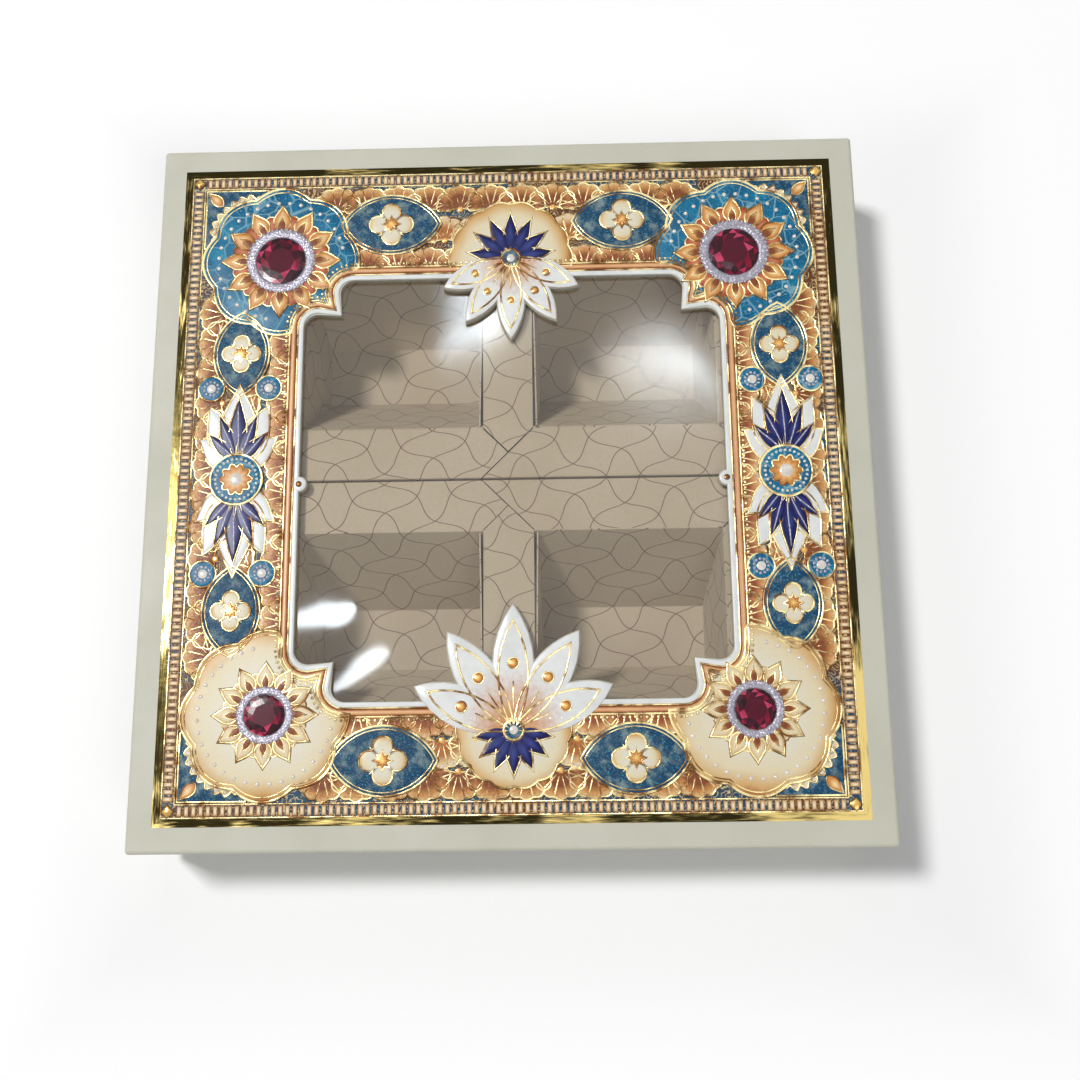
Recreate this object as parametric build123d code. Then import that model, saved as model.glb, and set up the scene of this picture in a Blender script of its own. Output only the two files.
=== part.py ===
from build123d import *
import math
import os

# Gift box for dry fruit: a wrapped rigid base, a lift-off lid with a clear window, and two folded card
# trays of two wells each. Millimetres, +Z up, X to the right, Y to the back, origin under the middle.

# Overall sizes
box_side = 254.0
box_height = 44.0
lid_depth = 30.0

# Sheet and board thicknesses
board = 1.6
wrap = 0.4
stay = 0.15
film = 0.3
film_tape = 0.15
lining = 0.25
bottom_sheet = 0.3
foil = 0.12
card = 0.6

# Fits
lid_clearance = 0.5
lid_seat_gap = 0.15
tray_clearance = 0.5
tray_headroom = 1.4
tray_split_gap = 0.3
sheet_gap = 0.05

# Wrapping details
edge_radius = 1.3
turn_in = 15.0
stay_leg = 18.0
stay_margin = 3.0
bottom_sheet_inset = 2.0

# Printed panel and window in the lid
foil_inset = 8.6
foil_width = 2.9
window_width = 149.0
window_length = 152.0
window_shift_x = 1.5
window_shift_y = -2.0
notch = 12.4
notch_tip = 13.6
notch_radius = 5.0
knob_radius = 2.8
back_petal_reach = 24.0
front_petal_reach = 33.0
petal_width_share = 0.44
film_margin = 12.0
tape_width = 6.0
lining_edge = 0.4

# Wells of the folded trays
ridge_half = 18.5
ridge_slope = 21.5
well_length = 66.0
divider_width = 17.6
divider_slope = 1.7
well_width = 66.0
side_slope = 4.0
ridge_flange = 20.0
seam = 0.35
fold_radius = 0.5

# Heights that follow
lid_top = box_height
lid_bottom = lid_top - lid_depth
lid_panel_top = lid_top - wrap
lid_panel_bottom = lid_panel_top - board
film_top = lid_panel_bottom - film_tape
film_bottom = film_top - film
lid_half = box_side / 2
lid_board_half = lid_half - wrap
lid_board_inner = lid_board_half - board
lid_mouth_half = lid_board_inner - wrap
base_half = lid_mouth_half - lid_clearance
base_board_half = base_half - wrap
base_board_inner = base_board_half - board
base_mouth_half = base_board_inner - wrap
base_top = lid_panel_bottom - lining - lid_seat_gap
base_floor_low = bottom_sheet + wrap
base_floor_top = base_floor_low + board
tray_bottom = base_floor_top + lining
tray_top = film_bottom - lining - sheet_gap - tray_headroom
tray_half = base_mouth_half - tray_clearance
film_half_x = window_width / 2 + film_margin
film_half_y = window_length / 2 + film_margin
well_inner_x = divider_width / 2
well_outer_x = well_inner_x + well_width
well_outer_y = ridge_half + well_length


def block(x0, x1, y0, y1, z0, z1):
    """A box between two corners."""
    size = Box(x1 - x0, y1 - y0, z1 - z0)
    return Pos((x0 + x1) / 2, (y0 + y1) / 2, (z0 + z1) / 2) * size


def square_block(half, z0, z1):
    """A square slab centred on the Z axis."""
    return block(-half, half, -half, half, z0, z1)


def rounded_block(half, z0, z1, radius, top=None):
    """A square slab with rounded upright corners, and rounded edges round its top or bottom face."""
    slab = square_block(half, z0, z1)
    edges = slab.edges().filter_by(Axis.Z)
    if top is not None:
        face = slab.faces().sort_by(Axis.Z)[-1 if top else 0]
        edges = edges + face.edges()
    return fillet(edges, radius)


def keep(name, shape):
    """Writes one node and names it."""
    shape.label = name
    export_step(shape, f"parts/{name}.step")
    print(name, len(shape.solids()), round(shape.volume, 1))


def petal(reach, width, angle):
    """A pointed petal from the origin, between two equal arcs, turned from the Y axis by angle."""
    side = width / 2
    right = ThreePointArc((0, 0), (side, reach / 2), (0, reach))
    left = ThreePointArc((0, reach), (-side, reach / 2), (0, 0))
    return Rot(0, 0, angle) * make_face([right, left])


def petal_fan(reach):
    """Half of a lotus: a tall middle petal with two shorter ones on each side, rooted behind the edge."""
    root = 0.30 * reach
    fan = petal(reach + root, petal_width_share * reach, 0)
    for turn, share in ((34, 0.94), (66, 0.86)):
        size = share * (reach + root)
        for sign in (-1, 1):
            fan += petal(size, petal_width_share * reach, sign * turn)
    return Pos(0, -root) * fan


def window_outline(grow=0.0):
    """The die-cut opening: notched corners, side knobs and a petal fan at the back and at the front."""
    half_x = window_width / 2
    half_y = window_length / 2
    opening = Rectangle(window_width, window_length)
    for sx in (-1, 1):
        for sy in (-1, 1):
            corner = Polygon(
                (sx * (half_x + 1), sy * (half_y + 1)),
                (sx * (half_x - notch), sy * (half_y + 1)),
                (sx * (half_x - notch), sy * half_y),
                (sx * (half_x - notch_tip), sy * (half_y - notch_tip)),
                (sx * half_x, sy * (half_y - notch)),
                (sx * (half_x + 1), sy * (half_y - notch)),
                align=None,
            )
            opening -= corner
    rounded = [
        v
        for v in opening.vertices()
        if abs(abs(v.X) - half_x) < 0.01 or abs(abs(v.Y) - half_y) < 0.01
    ]
    opening = fillet(rounded, notch_radius)
    for sign in (-1, 1):
        opening -= Pos(sign * half_x, 0) * Circle(knob_radius)
    opening -= Pos(0, half_y) * Rot(0, 0, 180) * petal_fan(back_petal_reach)
    opening -= Pos(0, -half_y) * petal_fan(front_petal_reach)
    if grow:
        opening = offset(opening, grow, kind=Kind.INTERSECTION)
    return Pos(window_shift_x, window_shift_y) * opening


def window_cut(z0, z1, grow=0.0):
    """The window outline as a cutter between two heights."""
    return Pos(0, 0, z0) * extrude(window_outline(grow), z1 - z0)


def side_names(shape, prefix):
    """Splits a shape into its solids, each named after the side or corner of the box it is on."""
    named = {}
    for solid in shape.solids():
        centre = solid.center()
        words = [prefix]
        if abs(centre.Y) > stay_leg:
            words.append("back" if centre.Y > 0 else "front")
        if abs(centre.X) > stay_leg:
            words.append("right" if centre.X > 0 else "left")
        named["_".join(words)] = solid
    return named


def corner_stays(half, z0, z1, leg):
    """Four paper tapes folded round the upright corners of a board box, on its outside."""
    board_radius = edge_radius - wrap
    outer = rounded_block(half + stay, z0, z1, board_radius + stay)
    inner = rounded_block(half, z0 - 1, z1 + 1, board_radius)
    ring = outer - inner
    middle = half + stay - leg
    ring -= block(-middle, middle, -half - 2, half + 2, z0 - 1, z1 + 1)
    ring -= block(-half - 2, half + 2, -middle, middle, z0 - 1, z1 + 1)
    return ring


def board_box(half, inner, z_open, z_closed, z_inside, lid):
    """A scored and folded board box, closed at the top for a lid and at the bottom for a base."""
    low, high = min(z_open, z_closed), max(z_open, z_closed)
    shell = rounded_block(half, low, high, edge_radius - wrap, top=lid)
    if lid:
        return shell - square_block(inner, z_open - 1, z_inside)
    return shell - square_block(inner, z_inside, z_open + 1)


def wrap_skin(half, inner, z_open, z_closed, z_turned, lid):
    """Paper over the outside of a board box, over its rim and down inside it as far as the turn-in."""
    low, high = min(z_open, z_closed), max(z_open, z_closed)
    outer = rounded_block(half, low, high, edge_radius, top=lid)
    reach = (z_open - 1, z_turned) if lid else (z_turned, z_open + 1)
    return outer, square_block(inner, *reach)


def make_base():
    """The wrapped bottom box: board, corner stays, wrap, floor lining and the sheet under it."""
    rim = base_top - wrap
    low = base_floor_low
    base_board = board_box(base_board_half, base_board_inner, rim, low, base_floor_top, lid=False)
    stays = corner_stays(base_board_half, low + stay_margin, rim - stay_margin, stay_leg)
    turned = base_top - turn_in
    outer, mouth = wrap_skin(
        base_half, base_mouth_half, base_top, bottom_sheet, turned, lid=False
    )
    inside = square_block(base_board_inner, base_floor_top, turned)
    base_wrap = outer - mouth - base_board - stays - inside
    liner = square_block(base_board_inner, base_floor_top, tray_bottom)
    under = rounded_block(base_half - bottom_sheet_inset, 0, bottom_sheet, edge_radius)
    return {
        "bottom_sheet": under,
        "base_board": base_board,
        **side_names(stays, "base_stay"),
        "base_wrap": base_wrap,
        "base_liner": liner,
    }


def make_lid():
    """The lift-off lid: board, stays, printed wrap, foil border, window film with its tape, and lining."""
    rim = lid_bottom + wrap
    lid_board = board_box(
        lid_board_half, lid_board_inner, rim, lid_panel_top, lid_panel_bottom, lid=True
    )
    lid_board -= window_cut(lid_panel_bottom - 1, lid_panel_top + 1)
    stays = corner_stays(lid_board_half, rim + stay_margin, lid_panel_top - stay_margin, stay_leg)
    turned = lid_bottom + turn_in
    outer, mouth = wrap_skin(lid_half, lid_mouth_half, lid_bottom, lid_top, turned, lid=True)
    inside = square_block(lid_board_inner, turned, lid_panel_bottom)
    lid_wrap = outer - mouth - lid_board - stays - inside
    lid_wrap -= window_cut(lid_panel_bottom - 1, lid_top + 1)

    foil_outer = lid_half - foil_inset
    border = square_block(foil_outer, lid_top, lid_top + foil)
    border -= square_block(foil_outer - foil_width, lid_top - 1, lid_top + 1)

    centre = Pos(window_shift_x, window_shift_y)
    sheet = centre * block(-film_half_x, film_half_x, -film_half_y, film_half_y, film_bottom, film_top)
    return {
        "lid_board": lid_board,
        **side_names(stays, "lid_stay"),
        "lid_wrap": lid_wrap,
        "foil_border": border,
        "window_film": sheet,
        **side_names(make_tape(centre), "film_tape"),
        "lid_liner": make_lid_liner(centre),
    }


def make_tape(centre):
    """Four strips of double-sided tape that hold the film under the lid panel."""
    x, y = film_half_x, film_half_y
    low, high = film_top, lid_panel_bottom
    strips = [
        block(-x, x, y - tape_width, y, low, high),
        block(-x, x, -y, -y + tape_width, low, high),
        block(-x, -x + tape_width, -y + tape_width, y - tape_width, low, high),
        block(x - tape_width, x, -y + tape_width, y - tape_width, low, high),
    ]
    return centre * Compound(strips)


def make_lid_liner(centre):
    """White paper lining under the lid panel, stepped down over the film and cut out round the window."""
    half = lid_board_inner
    low = film_bottom - lining
    step_x = film_half_x + lining
    step_y = film_half_y + lining
    flat = square_block(half, lid_panel_bottom - lining, lid_panel_bottom)
    step = centre * block(-step_x, step_x, -step_y, step_y, low, lid_panel_bottom)
    liner = flat + step
    liner -= centre * block(
        -film_half_x, film_half_x, -film_half_y, film_half_y, film_bottom, lid_top
    )
    opening_x = window_width / 2 + lining_edge
    opening_y = window_length / 2 + lining_edge
    return liner - centre * block(-opening_x, opening_x, -opening_y, opening_y, low - 1, lid_top)


def frustum(top, bottom, z0, z1):
    """A tapered well between a rectangle at the bottom and one at the top, each (x0, x1, y0, y1)."""
    wires = []
    for (x0, x1, y0, y1), z in ((bottom, z0), (top, z1)):
        wires.append(Pos((x0 + x1) / 2, (y0 + y1) / 2, z) * Rectangle(x1 - x0, y1 - y0))
    return loft(wires, ruled=True)


def grown(rect, by):
    """A rectangle moved out on every side."""
    return rect[0] - by, rect[1] + by, rect[2] - by, rect[3] + by


def well_solids(side):
    """The open well on one side of the divider, and the same well with its card walls around it."""
    floor_top = tray_bottom + card
    xs = (well_inner_x, well_outer_x)
    floor_xs = (well_inner_x + divider_slope, well_outer_x - side_slope)
    if side < 0:
        xs = (-xs[1], -xs[0])
        floor_xs = (-floor_xs[1], -floor_xs[0])
    top = (*xs, ridge_half, well_outer_y)
    bottom = (*floor_xs, ridge_half + ridge_slope, well_outer_y - ridge_slope)
    cavity = frustum(top, bottom, floor_top, tray_top)
    shell = frustum(grown(top, card), grown(bottom, card), tray_bottom, tray_top)
    return cavity, shell


def seam_strip(start, end):
    """A narrow cut through the top card, from one point to another."""
    (x0, y0), (x1, y1) = start, end
    length = math.hypot(x1 - x0, y1 - y0)
    angle = math.degrees(math.atan2(y1 - y0, x1 - x0))
    strip = Box(length, seam, 3 * card)
    return Pos((x0 + x1) / 2, (y0 + y1) / 2, tray_top) * Rot(0, 0, angle) * strip


def seam_cuts():
    """The mitred joints between the rim flaps, and the pointed ends of the divider strip."""
    inner = well_inner_x + seam / 2
    outer = well_outer_x
    ridge = ridge_half
    far = well_outer_y
    ridge_edge = tray_split_gap + card
    outer_edge = tray_half - card
    far_run = outer_edge - far
    far_tip = far + inner
    lines = [
        ((inner, ridge), (inner - (ridge - ridge_edge), ridge_edge)),
        ((-inner, ridge), (0, ridge - inner)),
        ((-inner, far), (-inner + far_run, outer_edge)),
        ((inner, far), (0, far_tip)),
    ]
    for sign in (-1, 1):
        lines.append(((sign * outer, ridge), (sign * (outer + ridge - ridge_edge), ridge_edge)))
        lines.append(((sign * outer, far), (sign * (outer + far_run), outer_edge)))
    cuts = [seam_strip(*line) for line in lines]
    for sign in (-1, 1):
        for y, way in ((ridge, -1), (far, 1)):
            wedge = Polygon(
                (sign * well_inner_x, y),
                (sign * (well_inner_x + divider_slope), y),
                (sign * well_inner_x, y + way * divider_slope),
                align=None,
            )
            cuts.append(Pos(0, 0, tray_top - 1.5 * card) * extrude(wedge, 3 * card))
    return cuts


def make_tray():
    """The back tray, folded from one sheet: rims, sloping wells, a divider and outer flanges."""
    near = tray_split_gap / 2
    body = block(-tray_half, tray_half, near, tray_half, tray_bottom, tray_top)
    top_edges = body.faces().sort_by(Axis.Z)[-1].edges()
    body = fillet(top_edges, fold_radius)
    hollow = block(
        -tray_half + card,
        tray_half - card,
        near + card,
        tray_half - card,
        tray_bottom - 1,
        tray_top - card,
    )
    wells = [well_solids(side) for side in (-1, 1)]
    for cavity, shell in wells:
        hollow -= shell
    body -= hollow
    for cavity, shell in wells:
        body -= cavity
    flange_low = tray_top - ridge_flange
    body -= block(-tray_half - 1, tray_half + 1, near - 1, near + card, tray_bottom - 1, flange_low)
    for cut in seam_cuts():
        body -= cut
    return body


def main():
    os.makedirs("parts", exist_ok=True)
    for name, shape in {**make_base(), **make_lid()}.items():
        keep(name, shape)
    back_tray = make_tray()
    keep("back_tray", back_tray)
    keep("front_tray", mirror(back_tray, Plane.XZ))


main()
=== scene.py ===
import math
import random

import bmesh
import bpy
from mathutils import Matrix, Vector


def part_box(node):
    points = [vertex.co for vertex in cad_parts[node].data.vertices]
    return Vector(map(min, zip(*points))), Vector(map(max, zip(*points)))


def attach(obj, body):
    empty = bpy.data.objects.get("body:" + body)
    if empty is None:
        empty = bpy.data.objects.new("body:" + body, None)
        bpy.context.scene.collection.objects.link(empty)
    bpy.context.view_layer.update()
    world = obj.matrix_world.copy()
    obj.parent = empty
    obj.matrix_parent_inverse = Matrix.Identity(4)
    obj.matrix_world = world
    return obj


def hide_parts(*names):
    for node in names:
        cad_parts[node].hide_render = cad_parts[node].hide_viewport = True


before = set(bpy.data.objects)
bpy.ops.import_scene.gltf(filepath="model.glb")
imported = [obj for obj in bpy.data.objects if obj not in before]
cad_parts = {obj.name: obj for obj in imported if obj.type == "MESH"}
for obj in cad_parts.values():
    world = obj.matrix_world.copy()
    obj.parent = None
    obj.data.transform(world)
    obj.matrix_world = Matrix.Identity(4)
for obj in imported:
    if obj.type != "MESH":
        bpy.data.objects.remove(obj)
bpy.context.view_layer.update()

# Gift box for dry fruit. Sizes in the dictionaries are millimetres unless a note says otherwise.
mm = 0.001
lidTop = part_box("lid_wrap")[1].z / mm
scene = bpy.context.scene
print("frame loaded, lid top at", round(lidTop, 2), "mm")

colours = {  # as they are seen, from 0 to 255; the notes name the tones in order
    "creamPaper": ((205, 204, 189), (196, 195, 178), (188, 185, 168)),  # light, dark, fibre
    "greyBoard": ((172, 168, 158), (140, 136, 127), (196, 192, 182)),  # light, dark, layer
    "stayTape": ((188, 160, 118), (165, 136, 96)),
    "whitePaper": ((232, 230, 224), (222, 219, 211)),
    "filmTape": ((226, 224, 208), (206, 203, 186)),
    "borderFoil": ((46, 40, 20), (234, 208, 132)),  # dark and light tones, mixed as painted reflections
    "goldLine": ((112, 76, 34), (246, 226, 166), (58, 34, 14)),  # dark, light, and painted shade at the foot; darkGold has the same order
    "darkGold": ((98, 62, 28), (224, 180, 104), (58, 34, 14)),
    # tealEnamel: three clouded tones, scroll lines, cracks, and painted shade at the foot
    "tealEnamel": ((0, 74, 108), (4, 102, 142), (30, 140, 174), (122, 184, 208), (164, 206, 214), (10, 26, 46)),
    "grainedTeal": ((64, 150, 178), (0, 62, 94), (180, 200, 190), (10, 30, 50)),  # grain, ground, bloom, and painted shade at the foot
    "navyEnamel": ((8, 8, 38), (18, 24, 86), (54, 66, 132)),  # painted shading, dark at the foot and light on the crown
    "whiteEnamel": ((232, 234, 232), (220, 222, 220), (206, 140, 82), (172, 128, 84)),  # light, dark, an orange root tone painted as shade at the petal roots, and painted shade at the foot
    "peachEnamel": ((150, 80, 36), (214, 148, 78), (244, 212, 156), (70, 34, 16)),  # painted shading from the dark edge through the middle to the light heart, then painted shade at the foot; the same order below
    "ivoryEnamel": ((168, 118, 66), (226, 204, 160), (238, 226, 196), (70, 34, 16)),
    "rustEnamel": ((116, 44, 24), (176, 84, 50), (206, 120, 84), (70, 34, 16)),
    "medallionIvory": ((228, 222, 202), (228, 214, 178), (214, 172, 112), (168, 106, 54), (196, 170, 130),
                       (60, 34, 18)),  # heart to edge, the edge darkened as painted shade, then grain, and painted shade at the foot
    "amberShell": ((130, 68, 34), (206, 146, 84), (240, 208, 152), (58, 28, 12)),  # painted shading, dark at the root through the middle to the light rim, then painted shade at the foot; the same for the two below
    "ivoryShell": ((176, 106, 50), (230, 200, 150), (240, 232, 212), (58, 28, 12)),
    "peachShell": ((146, 76, 46), (218, 158, 100), (244, 216, 174), (58, 28, 12)),
    "copperBand": ((84, 40, 20), (180, 108, 64), (232, 182, 130), (238, 204, 152)),  # painted shading from the dark foot to the light top, then grain
    "panelGround": ((92, 52, 26), (14, 68, 94), (170, 150, 110), (232, 204, 148)),  # brown, blue, grain, scroll
    "reededIvory": ((132, 84, 44), (222, 186, 132), (242, 232, 208)),  # painted shading from the dark foot to the light top
    "ruby": ((30, 0, 12), (88, 2, 34), (138, 6, 46), (204, 66, 104)),  # facet tones from dark to light, for painted glints on the facets
    "grainedSilver": ((222, 219, 228), (150, 146, 158)),
    "pearl": ((236, 230, 220), (212, 200, 188)),
    "amberBead": ((124, 66, 18), (208, 138, 52), (246, 206, 122)),  # painted shading from the dark foot to the light top
    "kraftCard": ((187, 172, 148), (178, 161, 135), (158, 140, 113), (130, 112, 88), (98, 70, 54)),
    "clearFilm": ((250, 251, 252),),
    "paleFloor": ((252, 252, 252),),
    "studio": (),
}
enamelGloss = {"rough": 0.38, "shine": 0.25, "coat": 0.05, "coatRough": 0.3}
shaderInputs = {"colour": "Base Color", "rough": "Roughness", "metal": "Metallic", "normal": "Normal",
                "coat": "Coat Weight", "coatRough": "Coat Roughness", "shine": "Specular IOR Level"}


def srgb(values):  # a colour from 0 to 255 as Blender's linear colour
    shares = [value / 255 for value in values]
    return (*(c / 12.92 if c <= 0.04045 else ((c + 0.055) / 1.055) ** 2.4 for c in shares), 1.0)


class Wire:  # wraps a socket, so that sums on it add Math nodes
    def __init__(self, paint, socket):
        self.paint, self.socket = paint, socket

    def math(self, operation, *others):
        values = {0: self}
        values.update({i + 1: other for i, other in enumerate(others)})
        return self.paint.add("Math", {"operation": operation}, values)

    def __add__(self, other): return self.math("ADD", other)
    def __radd__(self, other): return self.math("ADD", other)
    def __sub__(self, other): return self.math("SUBTRACT", other)
    def __mul__(self, other): return self.math("MULTIPLY", other)
    def __rmul__(self, other): return self.math("MULTIPLY", other)
    def __truediv__(self, other): return self.math("DIVIDE", other)
    def __rsub__(self, other): return self.paint.add("Math", {"operation": "SUBTRACT"}, {0: other, 1: self})

    def ease(self, low, high, start=0.0, end=1.0):
        return self.paint.add("MapRange", {"interpolation_type": "SMOOTHSTEP"},
                              {0: self, 1: low, 2: high, 3: start, 4: end})


class Paint:  # the nodes of a new material, or of the world
    def __init__(self, name, world=None):
        self.owner = world or bpy.data.materials.new(name)
        self.owner.use_nodes = True
        self.tree = self.owner.node_tree
        self.tree.nodes.clear()
        self.output = self.tree.nodes.new("ShaderNodeOutputWorld" if world else "ShaderNodeOutputMaterial")
        self.tones = [srgb(colour) for colour in colours[name]]

    def add(self, kind, settings=None, inputs=None, output=0):
        node = self.tree.nodes.new("ShaderNode" + kind)
        for key, value in (settings or {}).items():
            if key == "stops":
                self.setStops(node.color_ramp, value)
            else:
                setattr(node, key, value)
        for key, value in (inputs or {}).items():
            if isinstance(value, Wire):
                self.tree.links.new(value.socket, node.inputs[key])
            else:
                node.inputs[key].default_value = value
        return Wire(self, node.outputs[output])

    def setStops(self, ramp, stops):
        while len(ramp.elements) < len(stops):
            ramp.elements.new(0.5)
        for element, (place, colour) in zip(ramp.elements, stops):
            element.position = place
            element.color = colour

    def mix(self, factor, first, second):
        return self.add("Mix", {"data_type": "RGBA"}, {0: factor, 6: first, 7: second}, output=2)

    def ramp(self, factor, *places):  # the first tones at these places
        return self.add("ValToRGB", {"stops": list(zip(places, self.tones))}, {0: factor})

    def place(self, scale=1.0, uv=False):  # position on the piece, in metres times scale
        spot = self.add("TexCoord", output=2 if uv else 3)
        return self.stretch(spot, (scale, scale, scale))

    def stretch(self, spot, scale):
        return self.add("Mapping", {}, {"Vector": spot, "Scale": scale})

    def parts(self, vector):
        node = self.add("SeparateXYZ", {}, {0: vector}).socket.node
        return [Wire(self, s) for s in node.outputs]

    def noise(self, size, detail=3.0, rough=0.5, seed=0.0, uv=False, at=None):  # size in millimetres
        spot = at or self.place(1000 / size, uv)
        return self.add("TexNoise", {"noise_dimensions": "4D"},
                        {"Vector": spot, "W": seed, "Scale": 1.0, "Detail": detail, "Roughness": rough})

    def cells(self, size, feature="F1", seed=0.0):
        return self.add("TexVoronoi", {"feature": feature, "voronoi_dimensions": "4D"},
                        {"Vector": self.place(1000 / size), "W": seed, "Scale": 1.0})

    def scroll(self, size, turns, width, seed):  # fine curling lines, 1 on a line
        swirl = self.noise(size, 2, 0.45, seed=seed)
        return 1 - (swirl * turns).math("FRACT").math("SUBTRACT", 0.5).math("ABSOLUTE").ease(0.0, width)

    def reading(self, name):  # a number stored on the mesh
        return self.add("Attribute", {"attribute_name": name}, output=2)

    def foot(self, colour, dark, reach=0.1, amount=0.9):  # painted shade: darkens a piece where it meets the ground
        return self.mix(self.reading("depth").ease(0.0, reach, amount, 0.0), colour, dark)

    def plainRays(self):  # 1 for what the camera sees straight on, in gloss and through film
        rays = self.add("LightPath").socket.node.outputs
        seen, gloss, through = (Wire(self, rays["Is %s Ray" % k]) for k in ("Camera", "Glossy", "Transmission"))
        return seen.math("MAXIMUM", gloss).math("MAXIMUM", through)

    def bump(self, height, depth):  # depth in millimetres
        return self.add("Bump", {}, {"Height": height, "Distance": depth * mm, "Strength": 1.0})

    def show(self, shader):
        self.tree.links.new(shader.socket, self.output.inputs[0])
        return self.owner

    def finish(self, **values):
        return self.show(self.add("BsdfPrincipled", {}, {shaderInputs[k]: v for k, v in values.items()}))


def makeCreamPaper(name):
    p = Paint(name)
    light, dark, hair = p.tones
    cloud = p.noise(38, 4, 0.6)
    fibre = p.noise(0.55, 2, 0.6)
    weave = p.noise(1.0, 2, 0.5, at=p.stretch(p.place(1000), (0.25, 2.2, 2.2)))
    colour = p.mix(cloud.ease(0.3, 0.75), light, dark)
    colour = p.mix(fibre.ease(0.35, 0.8) * 0.25, colour, hair)
    return p.finish(colour=colour, rough=cloud.ease(0.2, 0.8, 0.42, 0.56), shine=0.28,
                    normal=p.bump(fibre * 0.6 + weave * 0.7, 0.035))


def makeGreyBoard(name):
    p = Paint(name)
    light, dark, edge = p.tones
    fleck = p.noise(0.8, 4, 0.7)
    layer = p.noise(1.0, 3, 0.6, at=p.stretch(p.place(1000), (0.2, 0.2, 4)))
    colour = p.mix(fleck.ease(0.35, 0.7), light, dark)
    colour = p.mix(layer.ease(0.45, 0.65) * 0.4, colour, edge)
    return p.finish(colour=colour, rough=0.9, normal=p.bump(fleck + layer, 0.12))


def makePlain(name, cloud, fibre, depth, **gloss):  # a clouded sheet; cloud and fibre: size, detail, roughness
    p = Paint(name)
    colour = p.mix(p.noise(*cloud).ease(0.3, 0.7), *p.tones)
    return p.finish(colour=colour, normal=p.bump(p.noise(*fibre), depth), **gloss)


def makeBorderFoil(name):
    p = Paint(name)
    x, y = p.parts(p.place())[:2]
    sideways = y.math("ABSOLUTE").math("SUBTRACT", x.math("ABSOLUTE")).math("GREATER_THAN", 0.0)
    across, along = (p.noise(1, 3, 0.6, seed=9, at=p.stretch(p.place(1000 / 1.3), scale))
                     for scale in ((0.12, 1.4, 1), (1.4, 0.12, 1)))
    streak = along + (across - along) * sideways  # fine streaks run along each side, and in the colour they are painted reflection streaks
    patch = p.noise(46, 2, 0.5, seed=4)
    crinkle = p.noise(5, 2, 0.5, seed=2)
    # painted glare: the colour gets lighter towards the front-right corner
    corner = (x - y).ease(0.02, 0.2, 0.0, 0.34)
    # the light tone is painted reflection, laid in patches, streaks and the corner glare
    paintedReflection = (patch + (streak - 0.5) * 0.6 + corner * 0.6).ease(0.54, 0.76)
    return p.finish(colour=p.mix(paintedReflection, *p.tones), metal=1.0, rough=streak.ease(0.3, 0.8, 0.1, 0.26),
                    normal=p.bump(crinkle + streak * 0.3, 0.06))


def makeGold(name, seed, metal):
    p = Paint(name)
    dark, light, foot = p.tones
    patch = p.noise(7, 3, 0.6, seed=seed)
    grain = p.noise(0.9, 2, 0.6, seed=seed + 3)
    # painted shade darkens the line towards its foot
    colour = p.foot(p.mix(patch.ease(0.38, 0.6), dark, light), foot, 0.55)
    return p.finish(colour=colour, metal=metal, rough=patch.ease(0.3, 0.7, 0.3, 0.2), normal=p.bump(grain, 0.04))


def makeTealEnamel(name):
    p = Paint(name)
    lines, cracks, foot = p.tones[3:]
    scroll = p.scroll(5.5, 12, 0.13, 21)
    crack = 1 - p.cells(6.5, "DISTANCE_TO_EDGE", seed=3).ease(0.0, 0.05)
    colour = p.ramp(p.noise(9, 3, 0.6), 0.3, 0.52, 0.74)
    colour = p.mix(scroll * 0.5, colour, lines)
    # painted shade darkens the foot
    colour = p.foot(p.mix(crack * 0.55, colour, cracks), foot, 0.12)
    return p.finish(colour=colour, rough=0.36, shine=0.2, normal=p.bump(scroll + crack, 0.09), coat=0.05,
                    coatRough=0.3)


def makeGrainedTeal(name):
    p = Paint(name)
    light, dark, bloom, foot = p.tones
    grain = p.cells(0.75)
    colour = p.mix(grain.ease(0.1, 0.5), light, dark)
    colour = p.mix(p.noise(4, 3, 0.6).ease(0.45, 0.7) * 0.4, colour, bloom)
    # painted shade darkens the foot
    return p.finish(colour=p.foot(colour, foot, 0.12, 0.85), rough=0.4, shine=0.2, normal=p.bump(1 - grain, 0.24),
                    coat=0.05, coatRough=0.3)


def makeNavyEnamel(name):
    p = Paint(name)
    cloud = p.noise(6, 3, 0.6)
    # painted shading by height: dark at the foot, light on the crown
    colour = p.ramp(p.reading("depth") + (cloud - 0.5) * 0.6, 0.05, 0.5, 0.95)
    return p.finish(colour=colour, rough=0.32, shine=0.18, normal=p.bump(cloud, 0.05), coat=0.06, coatRough=0.2)


def makeWhiteEnamel(name):
    p = Paint(name)
    light, dark, root, foot = p.tones
    cloud = p.noise(7, 3, 0.6)
    streak = p.noise(1.6, 3, 0.6, seed=4)
    # painted shade: an orange tone darkens the petal roots
    rootShade = (p.reading("reach") + (streak - 0.5) * 0.4).ease(0.1, 0.55, 0.95, 0.0)
    colour = p.mix(rootShade, p.mix(cloud.ease(0.35, 0.7), light, dark), root)
    # painted shade darkens the foot
    return p.finish(colour=p.foot(colour, foot, amount=0.6), rough=0.3, shine=0.3, normal=p.bump(cloud, 0.05),
                    coat=0.2, coatRough=0.15)


def makePetalEnamel(name, seed):
    p = Paint(name)
    cloud = p.noise(5, 3, 0.6, seed=seed)
    streak = p.noise(1.1, 3, 0.6, seed=seed + 5)
    # painted shading: dark at the edge, light at the heart, with painted shade at the foot
    colour = p.ramp(p.reading("depth") + (cloud - 0.5) * 0.45 + (streak - 0.5) * 0.3, 0.02, 0.4, 0.85)
    return p.finish(colour=p.foot(colour, p.tones[3], amount=0.85), normal=p.bump(streak + cloud, 0.09),
                    **enamelGloss)


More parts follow.
